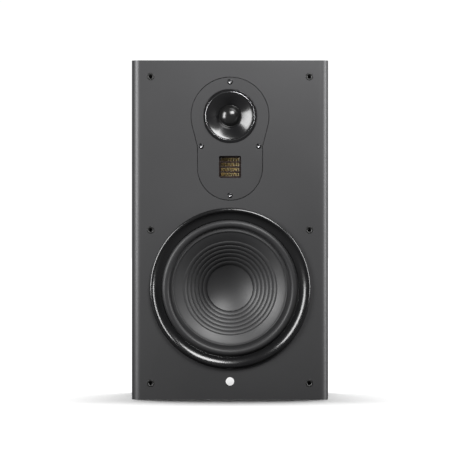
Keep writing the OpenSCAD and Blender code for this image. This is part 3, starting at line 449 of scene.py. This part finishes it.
# -----------------------------------------------------------------------------------------------------------
# Woofer cone. Pressed pulp with a satin black coat. Six raised beads stiffen it between the dust cap and the
# plain outer band, and its neck is glued round the voice-coil former.
ring_low, ring_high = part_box("woofer_trim_ring")
woofer_axis = (0.0, front_y, (ring_low.z + ring_high.z) / 2)
rim_r, neck_r, rim_depth, cone_depth = 61.7 * MM, 19.0 * MM, 2.8 * MM, 26.0 * MM
cone_t, cone_edge_r, cone_fall = 1.3 * MM, 66.3 * MM, 1.2


def cone_at(radius):
    """Depth of the cone's face: it falls from the rim with a power of the way to the neck, a little over
    one."""
    return rim_depth + cone_depth * np.clip((rim_r - radius) / (rim_r - neck_r), 0, 1) ** cone_fall


bead_from, bead_to, beads, bead_h, bead_fullness = 25.7 * MM, 51.8 * MM, 6, 0.85 * MM, 0.7


def beads_at(radius):
    """Height of the beads: one hump of a sine for each, raised to a power so that the grooves stay
    narrow."""
    way = np.clip((radius - bead_from) / (bead_to - bead_from), 0, 1)
    return bead_h * np.abs(np.sin(np.pi * beads * way)) ** bead_fullness


# the plain band outside the beads ends, and the plain foot inside them begins, a little away from them
band_end, foot_start = 52.2 * MM, 25.2 * MM
cone_radius = np.concatenate([[cone_edge_r], np.linspace(rim_r, band_end, 12),
                              np.linspace(bead_to, bead_from, beads * 12 + 1),
                              np.linspace(foot_start, neck_r, 6)])
cone_front = cone_at(cone_radius) - beads_at(cone_radius)
cone_back = cone_at(cone_radius) + cone_t
coated_pulp = finish("coated_pulp", (0.016, 0.016, 0.017), 0.50, colour_spread=0.25, grain=1500.0,
                     cloud=40.0, bump=0.22, specular=0.85)
cone_grid = turned(np.concatenate([cone_radius, cone_radius[::-1]]),
                   np.concatenate([cone_front, cone_back[::-1]]), woofer_axis, count=192)
fitted(solid("ribbed_cone", [cone_grid], sharp=70.0), coated_pulp, "cone_fibre", "woofer_cone_assembly",
       "woofer_cone")

# -----------------------------------------------------------------------------------------------------------
# Dust cap. A shallow dish pressed from the same coated pulp, turned hollow side out and glued to the cone
# round its rim.
cap_r, cap_dish, cap_t = 25.1 * MM, 6.0 * MM, 0.8 * MM
cap_radius = np.linspace(0, 1, 26) * cap_r
cap_face = cone_at(np.array(cap_r)) - cap_t + cap_dish * (1 - (cap_radius / cap_r) ** 2)
cap_outline = np.vstack([
    np.stack([cap_radius, cap_face], -1),
    np.stack([cap_radius[::-1], cap_face[::-1] + cap_t], -1),
])
cap_grid = turned(cap_outline[:, 0], cap_outline[:, 1], woofer_axis, count=128)
fitted(solid("hollow_dust_cap", [cap_grid], sharp=50.0), coated_pulp, "cone_fibre", "woofer_cone_assembly",
       "dust_cap")

# -----------------------------------------------------------------------------------------------------------
# Woofer surround. A half roll of moulded butyl rubber, glued to the basket outside and to the cone's rim
# inside. It flexes as the cone moves; here it is made of equal sectors laid round the axis.


def sector(front, back, centre, begin, end, steps):
    """A stretch of a turned sheet between two angles: front and back outlines go round the axis, and at each
    end they meet on their middle line, which closes the stretch."""
    angle = np.linspace(begin, end, steps)
    middle = (front + back) / 2
    loop = np.vstack([front, back[::-1]])
    capped = np.vstack([middle, middle[::-1]])
    outline = np.concatenate([capped[None], np.repeat(loop[None], steps, axis=0), capped[None]])
    angle = np.concatenate([[begin], angle, [end]])[:, None]
    x = centre[0] + outline[..., 0] * np.sin(angle)
    z = centre[2] + outline[..., 0] * np.cos(angle)
    return np.stack([x, centre[1] + outline[..., 1], z], -1)


def flexing_ring(name, front, back, centre, material, node, count, steps):
    """Lays equal sectors round the axis, each with the material and its place fixed in its mesh, and hides
    the imported node."""
    for k in range(count):
        begin, end = 2 * np.pi * k / count, 2 * np.pi * (k + 1) / count
        piece = solid(f"{name}_{k + 1:02d}", [sector(front, back, centre, begin, end, steps)],
                      close_rows=False, sharp=60.0)
        piece.data.materials.append(material)
        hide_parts(node)
        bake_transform(piece)


roll_outer, roll_inner, lip_outer, lip_inner = 74.9 * MM, 66.7 * MM, 78.3 * MM, 61.7 * MM
lip_depth, sheet_t = 2.0 * MM, 0.8 * MM
roll_foot, hollow_foot, hollow_drop = 0.5 * MM, 0.1 * MM, 0.3 * MM
# the low bead where the inner lip is glued to the cone: each point's way out from the lip's edge, and its
# depth
lip_bead = np.array([(2.1, -0.1), (1.5, -0.45), (0.7, -0.35), (0.0, 0.5)]) * MM
roll_mid, roll_r = (roll_outer + roll_inner) / 2, (roll_outer - roll_inner) / 2
roll_angle = np.linspace(0, np.pi, 22)
roll_arc = np.stack([np.cos(roll_angle), -np.sin(roll_angle)], -1)
surround_front = np.vstack([
    [(lip_outer, lip_depth), (roll_outer + roll_foot, lip_depth)],
    (roll_mid, lip_depth) + roll_arc * roll_r,
    [(roll_inner - roll_foot, lip_depth)],
    (lip_inner, lip_depth) + lip_bead,
])
surround_back = np.vstack([
    [(lip_outer, lip_depth + sheet_t), (roll_outer + hollow_foot, lip_depth + sheet_t)],
    (roll_mid, lip_depth + hollow_drop) + roll_arc * (roll_r - sheet_t),
    [(roll_inner - hollow_foot, lip_depth + sheet_t)],
    (lip_inner, lip_depth + sheet_t) + lip_bead * (1, 0),
])
butyl_rubber = finish("butyl_rubber", (0.026, 0.026, 0.027), 0.46, colour_spread=0.15, grain=2200.0,
                      bump=0.12, specular=0.42)
flexing_ring("surround_sector", surround_front, surround_back, woofer_axis, butyl_rubber,
             "woofer_surround", count=24, steps=13)

# -----------------------------------------------------------------------------------------------------------
# Woofer spider. A disc of woven cotton dipped in resin and pressed into rings of folds; it holds the former
# in the middle of the gap, and it bends with the cone as the surround does.
spider_r, spider_seat, glue_gap = 55.0 * MM, 2.15 * MM, 0.3 * MM
folds_from, folds_to, folds, fold_h = 21 * MM, 50.5 * MM, 5, 1.4 * MM
cloth_front, cloth_back = -0.75 * MM, -0.05 * MM
spider_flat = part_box("woofer_spider")[0].y - front_y + spider_seat
spider_radius = np.linspace(spider_r, neck_r + glue_gap, 61)
spider_way = np.clip((spider_radius - folds_from) / (folds_to - folds_from), 0, 1)
spider_wave = fold_h * np.sin(2 * np.pi * folds * spider_way)
spider_front = np.stack([spider_radius, spider_flat + spider_wave + cloth_front], -1)
spider_back = np.stack([spider_radius, spider_flat + spider_wave + cloth_back], -1)
dipped_cloth = finish("dipped_cloth", (0.52, 0.34, 0.12), 0.8, colour_spread=0.5, grain=2400.0, bump=0.9)
flexing_ring("spider_sector", spider_front, spider_back, woofer_axis, dipped_cloth,
             "woofer_spider", count=16, steps=9)

# -----------------------------------------------------------------------------------------------------------
# Tinsel leads. Two leads braided from copper tinsel are soldered to the tag strip and glued to the back of
# the cone, and hang between them slack enough to follow it.


def tube(path, radius, sides=10):
    """Carries a circle along a path in one upright plane: each ring is square to the path and level with
    X."""
    along = np.gradient(path, axis=0)
    along = along / np.linalg.norm(along, axis=1, keepdims=True)
    level = np.array([1.0, 0.0, 0.0])
    upright = np.cross(along, level)
    around = np.arange(sides) * 2 * np.pi / sides
    ring = np.cos(around)[:, None] * level + np.sin(around)[:, None] * upright[:, None]
    ends = np.repeat(path[[0, -1], None], sides, axis=1)
    return np.concatenate([ends[:1], path[:, None] + radius * ring, ends[1:]])


tinsel_braid = finish("tinsel_braid", (0.60, 0.38, 0.14), 0.45, colour_spread=0.6, metallic=0.8,
                      grain=3000.0, bump=0.9)
braid_r, lead_side, lead_slack, glue_r = 0.55 * MM, 6 * MM, 9.5 * MM, 24.5 * MM
solder_inset, glue_stand, glue_inset = 1.0 * MM, 1.0 * MM, 1.2 * MM
lead_low, lead_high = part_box("tinsel_leads")
cone_back_y = front_y + float(cone_at(np.array(glue_r))) + cone_t
lead_out = np.array([0.0, lead_high.y - solder_inset, lead_low.z + solder_inset])
lead_in = np.array([0.0, cone_back_y + glue_stand, lead_high.z - glue_inset])
lead_way = np.linspace(0, 1, 25)[:, None]
# a parabola that is nought at both ends and reaches the slack halfway
lead_sag = np.array([0.0, -lead_slack, 0.0]) * 4 * lead_way * (1 - lead_way)
for side in (-1, 1):
    lead_shift = np.array([side * lead_side, 0.0, 0.0])
    lead_path = lead_out + (lead_in - lead_out) * lead_way + lead_sag + lead_shift
    lead = solid("tinsel_lead_left" if side < 0 else "tinsel_lead_right", [tube(lead_path, braid_r)],
                 close_rows=False)
    lead.data.materials.append(tinsel_braid)
    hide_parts("tinsel_leads")
    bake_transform(lead)

# -----------------------------------------------------------------------------------------------------------
# Woofer trim ring. One injection-moulded ring of polished black plastic that hides the screws: a round outer
# shoulder, a narrow crown, and a cove that falls to the foot of the surround.
trim_r = (ring_high.x - ring_low.x) / 2
trim_w, trim_proud, skirt_depth, seat_gap = 12.9 * MM, 4.0 * MM, 2.0 * MM, 0.05 * MM
skirt_w, skirt_step, rim_bevel = 2.6 * MM, 0.1 * MM, 0.3 * MM
trim_inner = trim_r - trim_w
shoulder_r, cove_r, cove_lift, cove_inset = 3.0 * MM, 12.0 * MM, 7.4 * MM, 0.2 * MM
crown_bevel_w, crown_bevel_h, foot_turn = 0.15 * MM, 0.06 * MM, 0.2 * MM
# the cove is an arc about a point in front of the crown; it starts where the arc leaves the crown
cove_centre = np.array([trim_inner + cove_inset, -(trim_proud + cove_lift)])
crown_inner = cove_centre[0] + np.sqrt(cove_r ** 2 - cove_lift ** 2)
cove_start = np.arctan2(cove_lift, crown_inner - cove_centre[0])
cove_angle = np.linspace(cove_start + 0.05, np.pi / 2, 28)
cove_arc = cove_centre + cove_r * np.stack([np.cos(cove_angle), np.sin(cove_angle)], -1)
shoulder_angle = np.linspace(0, np.pi / 2, 12)
shoulder = np.array([trim_r - shoulder_r, -trim_proud + shoulder_r]) + shoulder_r * np.stack(
    [np.cos(shoulder_angle), -np.sin(shoulder_angle)], -1)
trim_outline = np.vstack([
    [(trim_inner, skirt_depth - seat_gap), (trim_r - skirt_w, skirt_depth - seat_gap),
     (trim_r - skirt_w + skirt_step, 0), (trim_r - rim_bevel, 0), (trim_r, -rim_bevel)],
    shoulder,
    [(crown_inner - crown_bevel_w, -trim_proud + crown_bevel_h)],
    cove_arc,
    [(trim_inner, cove_arc[-1, 1] + foot_turn)],
])
polished_black = finish("polished_black", (0.007, 0.007, 0.0075), 0.23, colour_spread=0.2,
                        roughness_spread=0.06, grain=500.0, bump=0.03, coat=0.4, coat_roughness=0.16)
trim_grid = turned(trim_outline[:, 0], trim_outline[:, 1], woofer_axis, count=256)
fitted(solid("trim_ring", [trim_grid], sharp=50.0), polished_black, "gloss_black", "cabinet",
       "woofer_trim_ring")

# -----------------------------------------------------------------------------------------------------------
# Treble plate. A milled aluminium keyhole plate, sprayed like the cabinet, let into the baffle with a thin
# shadow gap all round on a foam gasket, and held by four socket-head screws.
plate_paint = finish("plate_paint", (0.074, 0.074, 0.076), 0.45, colour_spread=0.08, grain=1600.0, bump=0.08,
                     metallic=0.6)
closed_foam = finish("closed_foam", (0.010, 0.010, 0.010), 0.95, colour_spread=0.3, grain=2600.0, bump=0.9)
fitted(softened("treble_plate", "keyhole_plate", edge=0.2 * MM), plate_paint, "plate_paint", "cabinet",
       "treble_plate")
dressed(closed_foam, "treble_gasket")

screw_head_r, screw_head_t, screw_shank_r, screw_end = 2.8 * MM, 2.6 * MM, 1.5 * MM, 18 * MM
head_sink, head_wall, hex_flat, hex_depth = 0.05 * MM, 0.5 * MM, 1.35 * MM, 1.5 * MM
screw_angle = np.arange(48) * 2 * np.pi / 48
hex_r = hex_flat / np.cos((screw_angle % (np.pi / 3)) - np.pi / 6)
level = np.ones_like(screw_angle)
# radius and depth of each corner, from the tip of the shank over the rounded head to the drilled floor
screw_outline = [
    (0 * level, screw_end),
    (screw_shank_r * level, screw_end),
    (screw_shank_r * level, screw_head_t),
    (screw_head_r * level, screw_head_t),
    (screw_head_r * level, head_wall),
    ((screw_head_r - 0.12 * MM) * level, 0.15 * MM),
    ((screw_head_r - 0.4 * MM) * level, 0),
    (hex_r + 0.25 * MM, 0),
    (hex_r, 0.2 * MM),
    (hex_r, hex_depth),
    (0.5 * hex_r, hex_depth),
    (0 * level, hex_depth + 0.4 * MM),
]
screw_radius = np.array([radius for radius, depth in screw_outline])
screw_depth = np.array([depth for radius, depth in screw_outline]) + head_sink
screws_low, screws_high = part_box("treble_plate_screws")
guide_low, guide_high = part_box("waveguide")
dome_axis = (0.0, front_y, (guide_low.z + guide_high.z) / 2)
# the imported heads' radius, and how far below the dome's axis the side screws stand
cad_head_r, side_drop = 2.9 * MM, 33.1 * MM
side_z = dome_axis[2] - side_drop
screw_places = [
    (0.0, front_y, screws_high.z - cad_head_r),
    (screws_high.x - cad_head_r, front_y, side_z),
    (screws_low.x + cad_head_r, front_y, side_z),
    (0.0, front_y, screws_low.z + cad_head_r),
]
socket_steel = finish("socket_steel", (0.045, 0.045, 0.047), 0.28, colour_spread=0.3, metallic=1.0,
                      bump=0.08)
screw_grids = [turned(screw_radius, screw_depth, place, count=48) for place in screw_places]
fitted(solid("socket_screws", screw_grids), socket_steel, "black_steel", "cabinet", "treble_plate_screws")
# inside each hexagon a lining of bright steel paints a highlight on its walls and its drilled floor
glint_lining_top = 0.35 * MM
glint_lining_outline = [
    (0 * level, hex_depth + 0.35 * MM),
    (1.02 * hex_r, hex_depth + 0.3 * MM),
    (1.02 * hex_r, glint_lining_top),
    (0.92 * hex_r, glint_lining_top),
    (0.90 * hex_r, hex_depth - 0.55 * MM),
    (0 * level, hex_depth + 0.1 * MM),
]
glint_lining_radius = np.array([radius for radius, depth in glint_lining_outline])
glint_lining_depth = np.array([depth for radius, depth in glint_lining_outline])
# bright steel for the linings, whose colour paints the sockets' highlight
glint_steel = finish("glint_steel", (0.36, 0.36, 0.37), 0.36, colour_spread=0.2, metallic=1.0, bump=0.06)
glint_lining_grids = [turned(glint_lining_radius, glint_lining_depth, place, count=48) for place in screw_places]
fitted(solid("glint_linings", glint_lining_grids), glint_steel, "black_steel", "cabinet", "treble_plate_screws")

# -----------------------------------------------------------------------------------------------------------
# Waveguide. A polished black moulding: a flat outer rim, then a flared horn that narrows to the dome. A thin
# bright metal ring is pressed in between them and stands a little proud.
guide_r = (guide_high.x - guide_low.x) / 2
guide_proud, flange_proud, mouth_r, throat_r = 1.2 * MM, 0.5 * MM, 25.4 * MM, 12.6 * MM
flange_w, flange_t, throat_t, throat_wall = 2.4 * MM, 3 * MM, 0.8 * MM, 2.9 * MM
throat_depth = guide_high.y - front_y - throat_t
ring_outer, ring_w, ring_seat = guide_r - flange_w, 0.9 * MM, 0.4 * MM
mouth_proud, throat_step, horn_flare = 0.4 * MM, 0.6 * MM, 1.2
# from throat to mouth the depth falls with a power of the way left, so that the horn opens ever wider
horn_way = np.linspace(0, 1, 40)
horn_depth = (throat_depth - mouth_proud - throat_step) * (1 - horn_way) ** horn_flare - mouth_proud
horn = np.stack([throat_r + (mouth_r - throat_r) * horn_way, horn_depth], -1)
guide_outline = np.vstack([
    [(throat_r, throat_depth)],
    horn,
    rounded([(ring_outer - ring_w, -mouth_proud), (ring_outer - ring_w, ring_seat), (ring_outer, ring_seat),
             (ring_outer, -flange_proud), (guide_r, -flange_proud), (guide_r, flange_t),
             (ring_outer, flange_t), (ring_outer, throat_depth + throat_t),
             (throat_r + throat_wall, throat_depth + throat_t), (throat_r + throat_wall, throat_depth)],
            [0.1 * MM, 0, 0, 0, 0.25 * MM, 0.1 * MM, 0, 0, 0, 0]),
])
fitted(solid("horn", [turned(guide_outline[:, 0], guide_outline[:, 1], dome_axis, count=192)], sharp=40.0),
       polished_black, "gloss_black", "cabinet", "waveguide")
bright_metal = finish("bright_metal", (0.36, 0.36, 0.37), 0.18, colour_spread=0.05, metallic=1.0, bump=0.02)
inlay_foot = ring_seat - 0.05 * MM
inlay_outline = rounded([(ring_outer - ring_w, inlay_foot), (ring_outer, inlay_foot),
                         (ring_outer, -guide_proud), (ring_outer - ring_w, -guide_proud + 0.1 * MM)],
                        [0, 0, 0.4 * MM, 0.1 * MM])
fitted(solid("bright_ring", [turned(inlay_outline[:, 0], inlay_outline[:, 1], dome_axis, count=192)]),
       bright_metal, "bright_metal", "cabinet", "waveguide_ring")

# -----------------------------------------------------------------------------------------------------------
# Tweeter dome. Silk pressed to a shallow cap and doped with a glossy damping coat; a tiny roll of the same
# silk lets it move a few tenths of a millimetre.
dome_low, dome_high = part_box("tweeter_dome")
dome_r = (dome_high.x - dome_low.x) / 2
dome_rise = dome_high.y - dome_low.y
dome_t, dome_taper = 0.35 * MM, 0.975
# radius of the ball that the cap is cut from: half the rim's radius squared over the rise, and half the rise
dome_ball = (dome_r ** 2 + dome_rise ** 2) / (2 * dome_rise)
dome_radius = np.linspace(0, 1, 28) * dome_r
dome_face = throat_depth - dome_rise + dome_ball - np.sqrt(dome_ball ** 2 - dome_radius ** 2)
dome_outline = np.vstack([
    np.stack([dome_radius, dome_face], -1),
    np.stack([dome_radius[::-1] * dome_taper, dome_face[::-1] + dome_t], -1),
])
doped_silk = finish("doped_silk", (0.010, 0.010, 0.010), 0.24, colour_spread=0.3, grain=2600.0, bump=0.10,
                    coat=0.4)
dome_grid = turned(dome_outline[:, 0], dome_outline[:, 1], dome_axis, count=128)
fitted(solid("silk_dome", [dome_grid], sharp=60.0), doped_silk, "dome_fabric", "tweeter_dome_assembly",
       "tweeter_dome")
silk_depth, silk_t, silk_lip = throat_depth - 0.05 * MM, 0.2 * MM, 2.5 * MM
silk_outer, silk_inner = throat_r - 0.1 * MM, dome_r - 0.15 * MM
silk_mid, silk_roll = (silk_outer + silk_inner) / 2, (silk_outer - silk_inner) / 2
silk_front = np.vstack([[(throat_r + silk_lip, silk_depth)], (silk_mid, silk_depth) + roll_arc * silk_roll])
silk_back = np.vstack([[(throat_r + silk_lip, silk_depth + silk_t)],
                       (silk_mid, silk_depth + silk_t) + roll_arc * (silk_roll - silk_t)])
flexing_ring("silk_sector", silk_front, silk_back, dome_axis, doped_silk,
             "tweeter_surround", count=12, steps=9)
dressed(moulded_black, "tweeter_rear_chamber", "ribbon_frame")

# -----------------------------------------------------------------------------------------------------------
# Ribbon unit. A slotted steel grid in dark red enamel stands in the plate's window, and behind it hangs one
# sheet of gold-coloured foil, pressed into upright pleats that squeeze the air between them.
grid_enamel = finish("grid_enamel", (0.016, 0.007, 0.005), 0.42, colour_spread=0.4, bump=0.15)
fitted(softened("ribbon_grid", "slotted_grid", edge=0.25 * MM, steps=2), grid_enamel, "ribbon_grid_enamel",
       "cabinet", "ribbon_grid")
foil_low, foil_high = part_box("ribbon_diaphragm")
pleats, pleat_steps, pleat_h, pleat_fullness = 7, 14, 3.6 * MM, 0.8
foil_t, foil_side_gap, foil_front_gap = 0.25 * MM, 0.3 * MM, 0.2 * MM
foil_half = (foil_high.x - foil_low.x) / 2 - foil_side_gap
foil_x = np.linspace(-foil_half, foil_half, pleats * pleat_steps + 1)
# depth of the face: one swing of a cosine for each pleat, from nought to its height, raised to a power
pleat_wave = 0.5 - 0.5 * np.cos(2 * np.pi * pleats * (foil_x + foil_half) / (2 * foil_half))
foil_face = foil_low.y + foil_front_gap + pleat_h * pleat_wave ** pleat_fullness
foil_front = np.stack([foil_x, foil_face], -1)
foil_back = np.stack([foil_x, foil_face + foil_t], -1)
foil_loop = np.vstack([foil_front, foil_back[::-1]])
foil_middle = np.vstack([(foil_front + foil_back) / 2, ((foil_front + foil_back) / 2)[::-1]])
foil_rows = np.array([foil_middle, foil_loop, foil_loop, foil_middle])
foil_z = np.array([foil_low.z, foil_low.z, foil_high.z, foil_high.z])
foil_grid = np.stack([foil_rows[..., 0], foil_rows[..., 1],
                      np.broadcast_to(foil_z[:, None], foil_rows.shape[:2])], -1)
gold_foil = finish("gold_foil", (0.84, 0.74, 0.50), 0.42, colour_spread=0.5, metallic=0.45, grain=900.0,
                   cloud=220.0, bump=0.4)
fitted(solid("pleated_foil", [foil_grid], close_rows=False, sharp=70.0), gold_foil, "gold_foil", "cabinet",
       "ribbon_diaphragm")

# -----------------------------------------------------------------------------------------------------------
# Crossover and cables. A green board on sleeves over the bottom panel carries copper coils, film capacitors
# and cement resistors; sheathed cables run to the drivers and to the posts.
solder_mask = finish("solder_mask", (0.015, 0.085, 0.035), 0.35, colour_spread=0.2, grain=700.0, coat=0.3)
capacitor_film = finish("capacitor_film", (0.40, 0.02, 0.012), 0.30, colour_spread=0.15, bump=0.06)
cement = finish("cement", (0.66, 0.63, 0.57), 0.9, colour_spread=0.3, grain=1600.0, bump=0.6)
cable_sheath = finish("cable_sheath", (0.018, 0.018, 0.018), 0.5, colour_spread=0.2, bump=0.1)
dressed(solder_mask, "crossover_board")
dressed(capacitor_film, "crossover_capacitors")
dressed(cement, "crossover_resistors")
dressed(cable_sheath, "internal_cables")

# -----------------------------------------------------------------------------------------------------------
# Reflex port. A tube of moulded black plastic is pushed through the back panel and glued, and its mouth
# flares to a thin round flange.
port_low, port_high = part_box("port_tube")
back_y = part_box("back_panel")[1].y
port_axis = (0.0, back_y, (port_low.z + port_high.z) / 2)
port_r, port_wall, flare_r, port_flange_t = 25 * MM, 2.5 * MM, 8 * MM, 1.5 * MM
port_end = port_low.y - back_y
flange_r = (port_high.x - port_low.x) / 2
flare_angle = np.linspace(np.pi, np.pi / 2, 18)
flange_edge = np.array([(-0.5, 0.0), (-0.1, -0.2), (0.0, -0.6)]) * MM
flare = np.array([port_r + flare_r, port_flange_t - flare_r]) + flare_r * np.stack(
    [np.cos(flare_angle), np.sin(flare_angle)], -1)
port_outline = np.vstack([
    [(port_r, port_end)],
    flare,
    (flange_r, port_flange_t) + flange_edge,
    [(flange_r, 0), (port_r + flare_r + port_wall, 0), (port_r + flare_r + port_wall, -flare_r),
     (port_r + port_wall, -flare_r), (port_r + port_wall, port_end)],
])
port_grid = turned(port_outline[:, 0], port_outline[:, 1], port_axis, count=160)
fitted(solid("flared_port", [port_grid], sharp=40.0), moulded_black, "black_plastic", "cabinet", "port_tube")

# -----------------------------------------------------------------------------------------------------------
# Terminal plate and binding posts. A textured black plate carries two gold-plated studs; on each a fluted
# plastic cap, red or black, screws down over a captive gold washer onto an insulating collar.
fitted(softened("terminal_plate", "terminal_board", edge=0.35 * MM), moulded_black, "black_plastic",
       "cabinet", "terminal_plate")
gold_plate = finish("gold_plate", (0.83, 0.58, 0.20), 0.20, colour_spread=0.08, metallic=1.0, bump=0.04)
fitted(softened("post_studs", "gold_studs", edge=0.15 * MM, steps=2), gold_plate, "gold_plate", "cabinet",
       "post_studs")
fitted(softened("post_collars", "insulating_collars", edge=0.3 * MM), moulded_black, "black_plastic",
       "cabinet", "post_collars")


def fluted_cap(node):
    """A knob's outline turned with flutes: between its plain foot and its rounded end the radius dips by a
    power of a cosine, twelve times a turn."""
    low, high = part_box(node)
    length, cap_r = high.y - low.y, (high.x - low.x) / 2
    axis = ((low.x + high.x) / 2, low.y, (low.z + high.z) / 2)
    bore, hollow, lip, corner_steps = 3.05 * MM, 0.8 * MM, 2.2 * MM, 7
    outline = rounded([(bore, 0), (cap_r, 0), (cap_r, length), (cap_r - lip, length),
                       (cap_r - lip - 0.4 * MM, length - hollow), (bore, length - hollow)],
                      [0.1 * MM, 0.4 * MM, 1.1 * MM, 0.3 * MM, 0.3 * MM, 0.3 * MM], steps=corner_steps)
    grip_from, grip_to, grip_rows = 1.2 * MM, length - 1.6 * MM, 14
    grip = np.stack([np.full(grip_rows, cap_r), np.linspace(grip_from, grip_to, grip_rows)], -1)
    after_foot = 2 * corner_steps
    outline = np.vstack([outline[:after_foot], grip, outline[after_foot:]])
    flutes, flute_depth, flute_start, flute_fade = 12, 0.75 * MM, 2.4 * MM, 1.2 * MM
    angle = np.arange(144) * 2 * np.pi / 144
    dip = flute_depth * np.clip(np.cos(flutes * angle), 0, 1) ** 1.5
    on_side = outline[:, 0] > cap_r - flute_fade
    reach = np.clip((outline[:, 1] - flute_start) / flute_fade, 0, 1) * on_side
    radius = outline[:, :1] - reach[:, None] * dip
    return solid(node + "_knob", [turned(radius, outline[:, 1], axis, count=144)], sharp=40.0)


red_moulding = finish("red_moulding", (0.42, 0.008, 0.008), 0.30, bump=0.08, coat=0.2)
black_moulding = finish("black_moulding", (0.014, 0.014, 0.014), 0.30, colour_spread=0.15, bump=0.08,
                        coat=0.2)
fitted(fluted_cap("red_post_cap"), red_moulding, "red_cap", "red_cap", "red_post_cap")
fitted(fluted_cap("black_post_cap"), black_moulding, "black_cap", "black_cap", "black_post_cap")
for colour in ("red", "black"):
    washer = softened(f"{colour}_post_washer", f"{colour}_gold_washer", edge=0.2 * MM)
    fitted(washer, gold_plate, "gold_plate", f"{colour}_washer", f"{colour}_post_washer")

# -----------------------------------------------------------------------------------------------------------
# Studio. A pale seamless floor under plain soft boxes: a tall one on the left, one overhead on the right, a
# tall narrow one level with the baffle on the right that draws a line down its edge, and one behind. A wide
# panel overhead lights the floor alone, which gives the soft shadow at the cabinet's foot.
floor_half = 30.0
floor_mesh = bpy.data.meshes.new("floor")
floor_mesh.from_pydata([(-floor_half, -floor_half, 0), (floor_half, -floor_half, 0),
                        (floor_half, floor_half, 0), (-floor_half, floor_half, 0)], [], [(0, 1, 2, 3)])
floor = bpy.data.objects.new("floor", floor_mesh)
bpy.context.scene.collection.objects.link(floor)
pale_floor = finish("pale_floor", (0.9, 0.9, 0.9), 1.0, colour_spread=0.0, grain=20.0, bump=0.0,
                    specular=0.0)
# the floor looks pale, and yet it throws little light up at the cabinet
floor_thrown, floor_seen = 0.12, 0.90
floor_nodes, floor_links = pale_floor.node_tree.nodes, pale_floor.node_tree.links
seen_by = floor_nodes.new("ShaderNodeLightPath")
shade = floor_nodes.new("ShaderNodeMapRange")
shade.inputs["To Min"].default_value = floor_thrown
shade.inputs["To Max"].default_value = floor_seen
floor_links.new(seen_by.outputs["Is Camera Ray"], shade.inputs["Value"])
floor_links.new(shade.outputs["Result"], floor_nodes["Principled BSDF"].inputs["Base Color"])
floor.data.materials.append(pale_floor)
sky_lean = radians(-23)
sky_panel = bpy.data.lights.new("sky_panel", "SUN")
sky_panel.energy = 4.4
sky_panel.angle = radians(34)
sky_holder = bpy.data.objects.new("sky_panel", sky_panel)
sky_holder.rotation_euler = (sky_lean, 0.0, 0.0)
bpy.context.scene.collection.objects.link(sky_holder)
floor_only = bpy.data.collections.new("floor_only")
floor_only.objects.link(floor)
sky_holder.light_linking.receiver_collection = floor_only
not_floor = bpy.data.collections.new("not_floor")
not_floor.objects.link(floor)
not_floor.collection_objects[0].light_linking.link_state = "EXCLUDE"


def soft_box(name, place, width, tall, power):
    """An oblong lamp that looks at the middle of the baffle. Its place counts from the foot of the baffle's
    face; its turn is the angle of the line from the baffle's middle to the lamp."""
    lamp = bpy.data.lights.new(name, "AREA")
    lamp.shape = "RECTANGLE"
    lamp.size, lamp.size_y = width, tall
    lamp.energy = power
    holder = bpy.data.objects.new(name, lamp)
    holder.location = np.array(place) + (0.0, front_y, 0.0)
    away = np.array(holder.location) - (0.0, front_y, middle_z)
    holder.rotation_euler = (np.arctan2(np.hypot(away[0], away[1]), away[2]), 0.0,
                             np.arctan2(away[1], away[0]) + np.pi / 2)
    holder.light_linking.receiver_collection = not_floor
    bpy.context.scene.collection.objects.link(holder)


soft_box("left_box", (-0.78, -0.48, 0.46), width=0.36, tall=0.80, power=11.5)
soft_box("upper_right_box", (0.24, -0.50, 0.73), width=0.42, tall=0.32, power=6.8)
soft_box("right_box", (0.92, -0.07, 0.42), width=0.26, tall=0.85, power=9.0)
soft_box("back_box", (0.30, 1.25, 0.80), width=0.6, tall=0.6, power=9.0)

# behind the cabinet the backdrop looks white, but it lights the cabinet only faintly
backdrop_seen, backdrop_thrown = 1.05, 0.03
world = bpy.data.worlds.new("studio")
bpy.context.scene.world = world
world.use_nodes = True
nodes, links = world.node_tree.nodes, world.node_tree.links
seen = nodes["Background"]
seen.inputs["Color"].default_value = (1.0, 1.0, 1.0, 1.0)
seen.inputs["Strength"].default_value = backdrop_seen
lit = nodes.new("ShaderNodeBackground")
lit.inputs["Color"].default_value = (1.0, 1.0, 1.0, 1.0)
lit.inputs["Strength"].default_value = backdrop_thrown
path = nodes.new("ShaderNodeLightPath")
pick = nodes.new("ShaderNodeMixShader")
links.new(path.outputs["Is Camera Ray"], pick.inputs[0])
links.new(lit.outputs[0], pick.inputs[1])
links.new(seen.outputs[0], pick.inputs[2])
links.new(pick.outputs[0], nodes["World Output"].inputs["Surface"])
bpy.context.scene.view_settings.view_transform = "Standard"
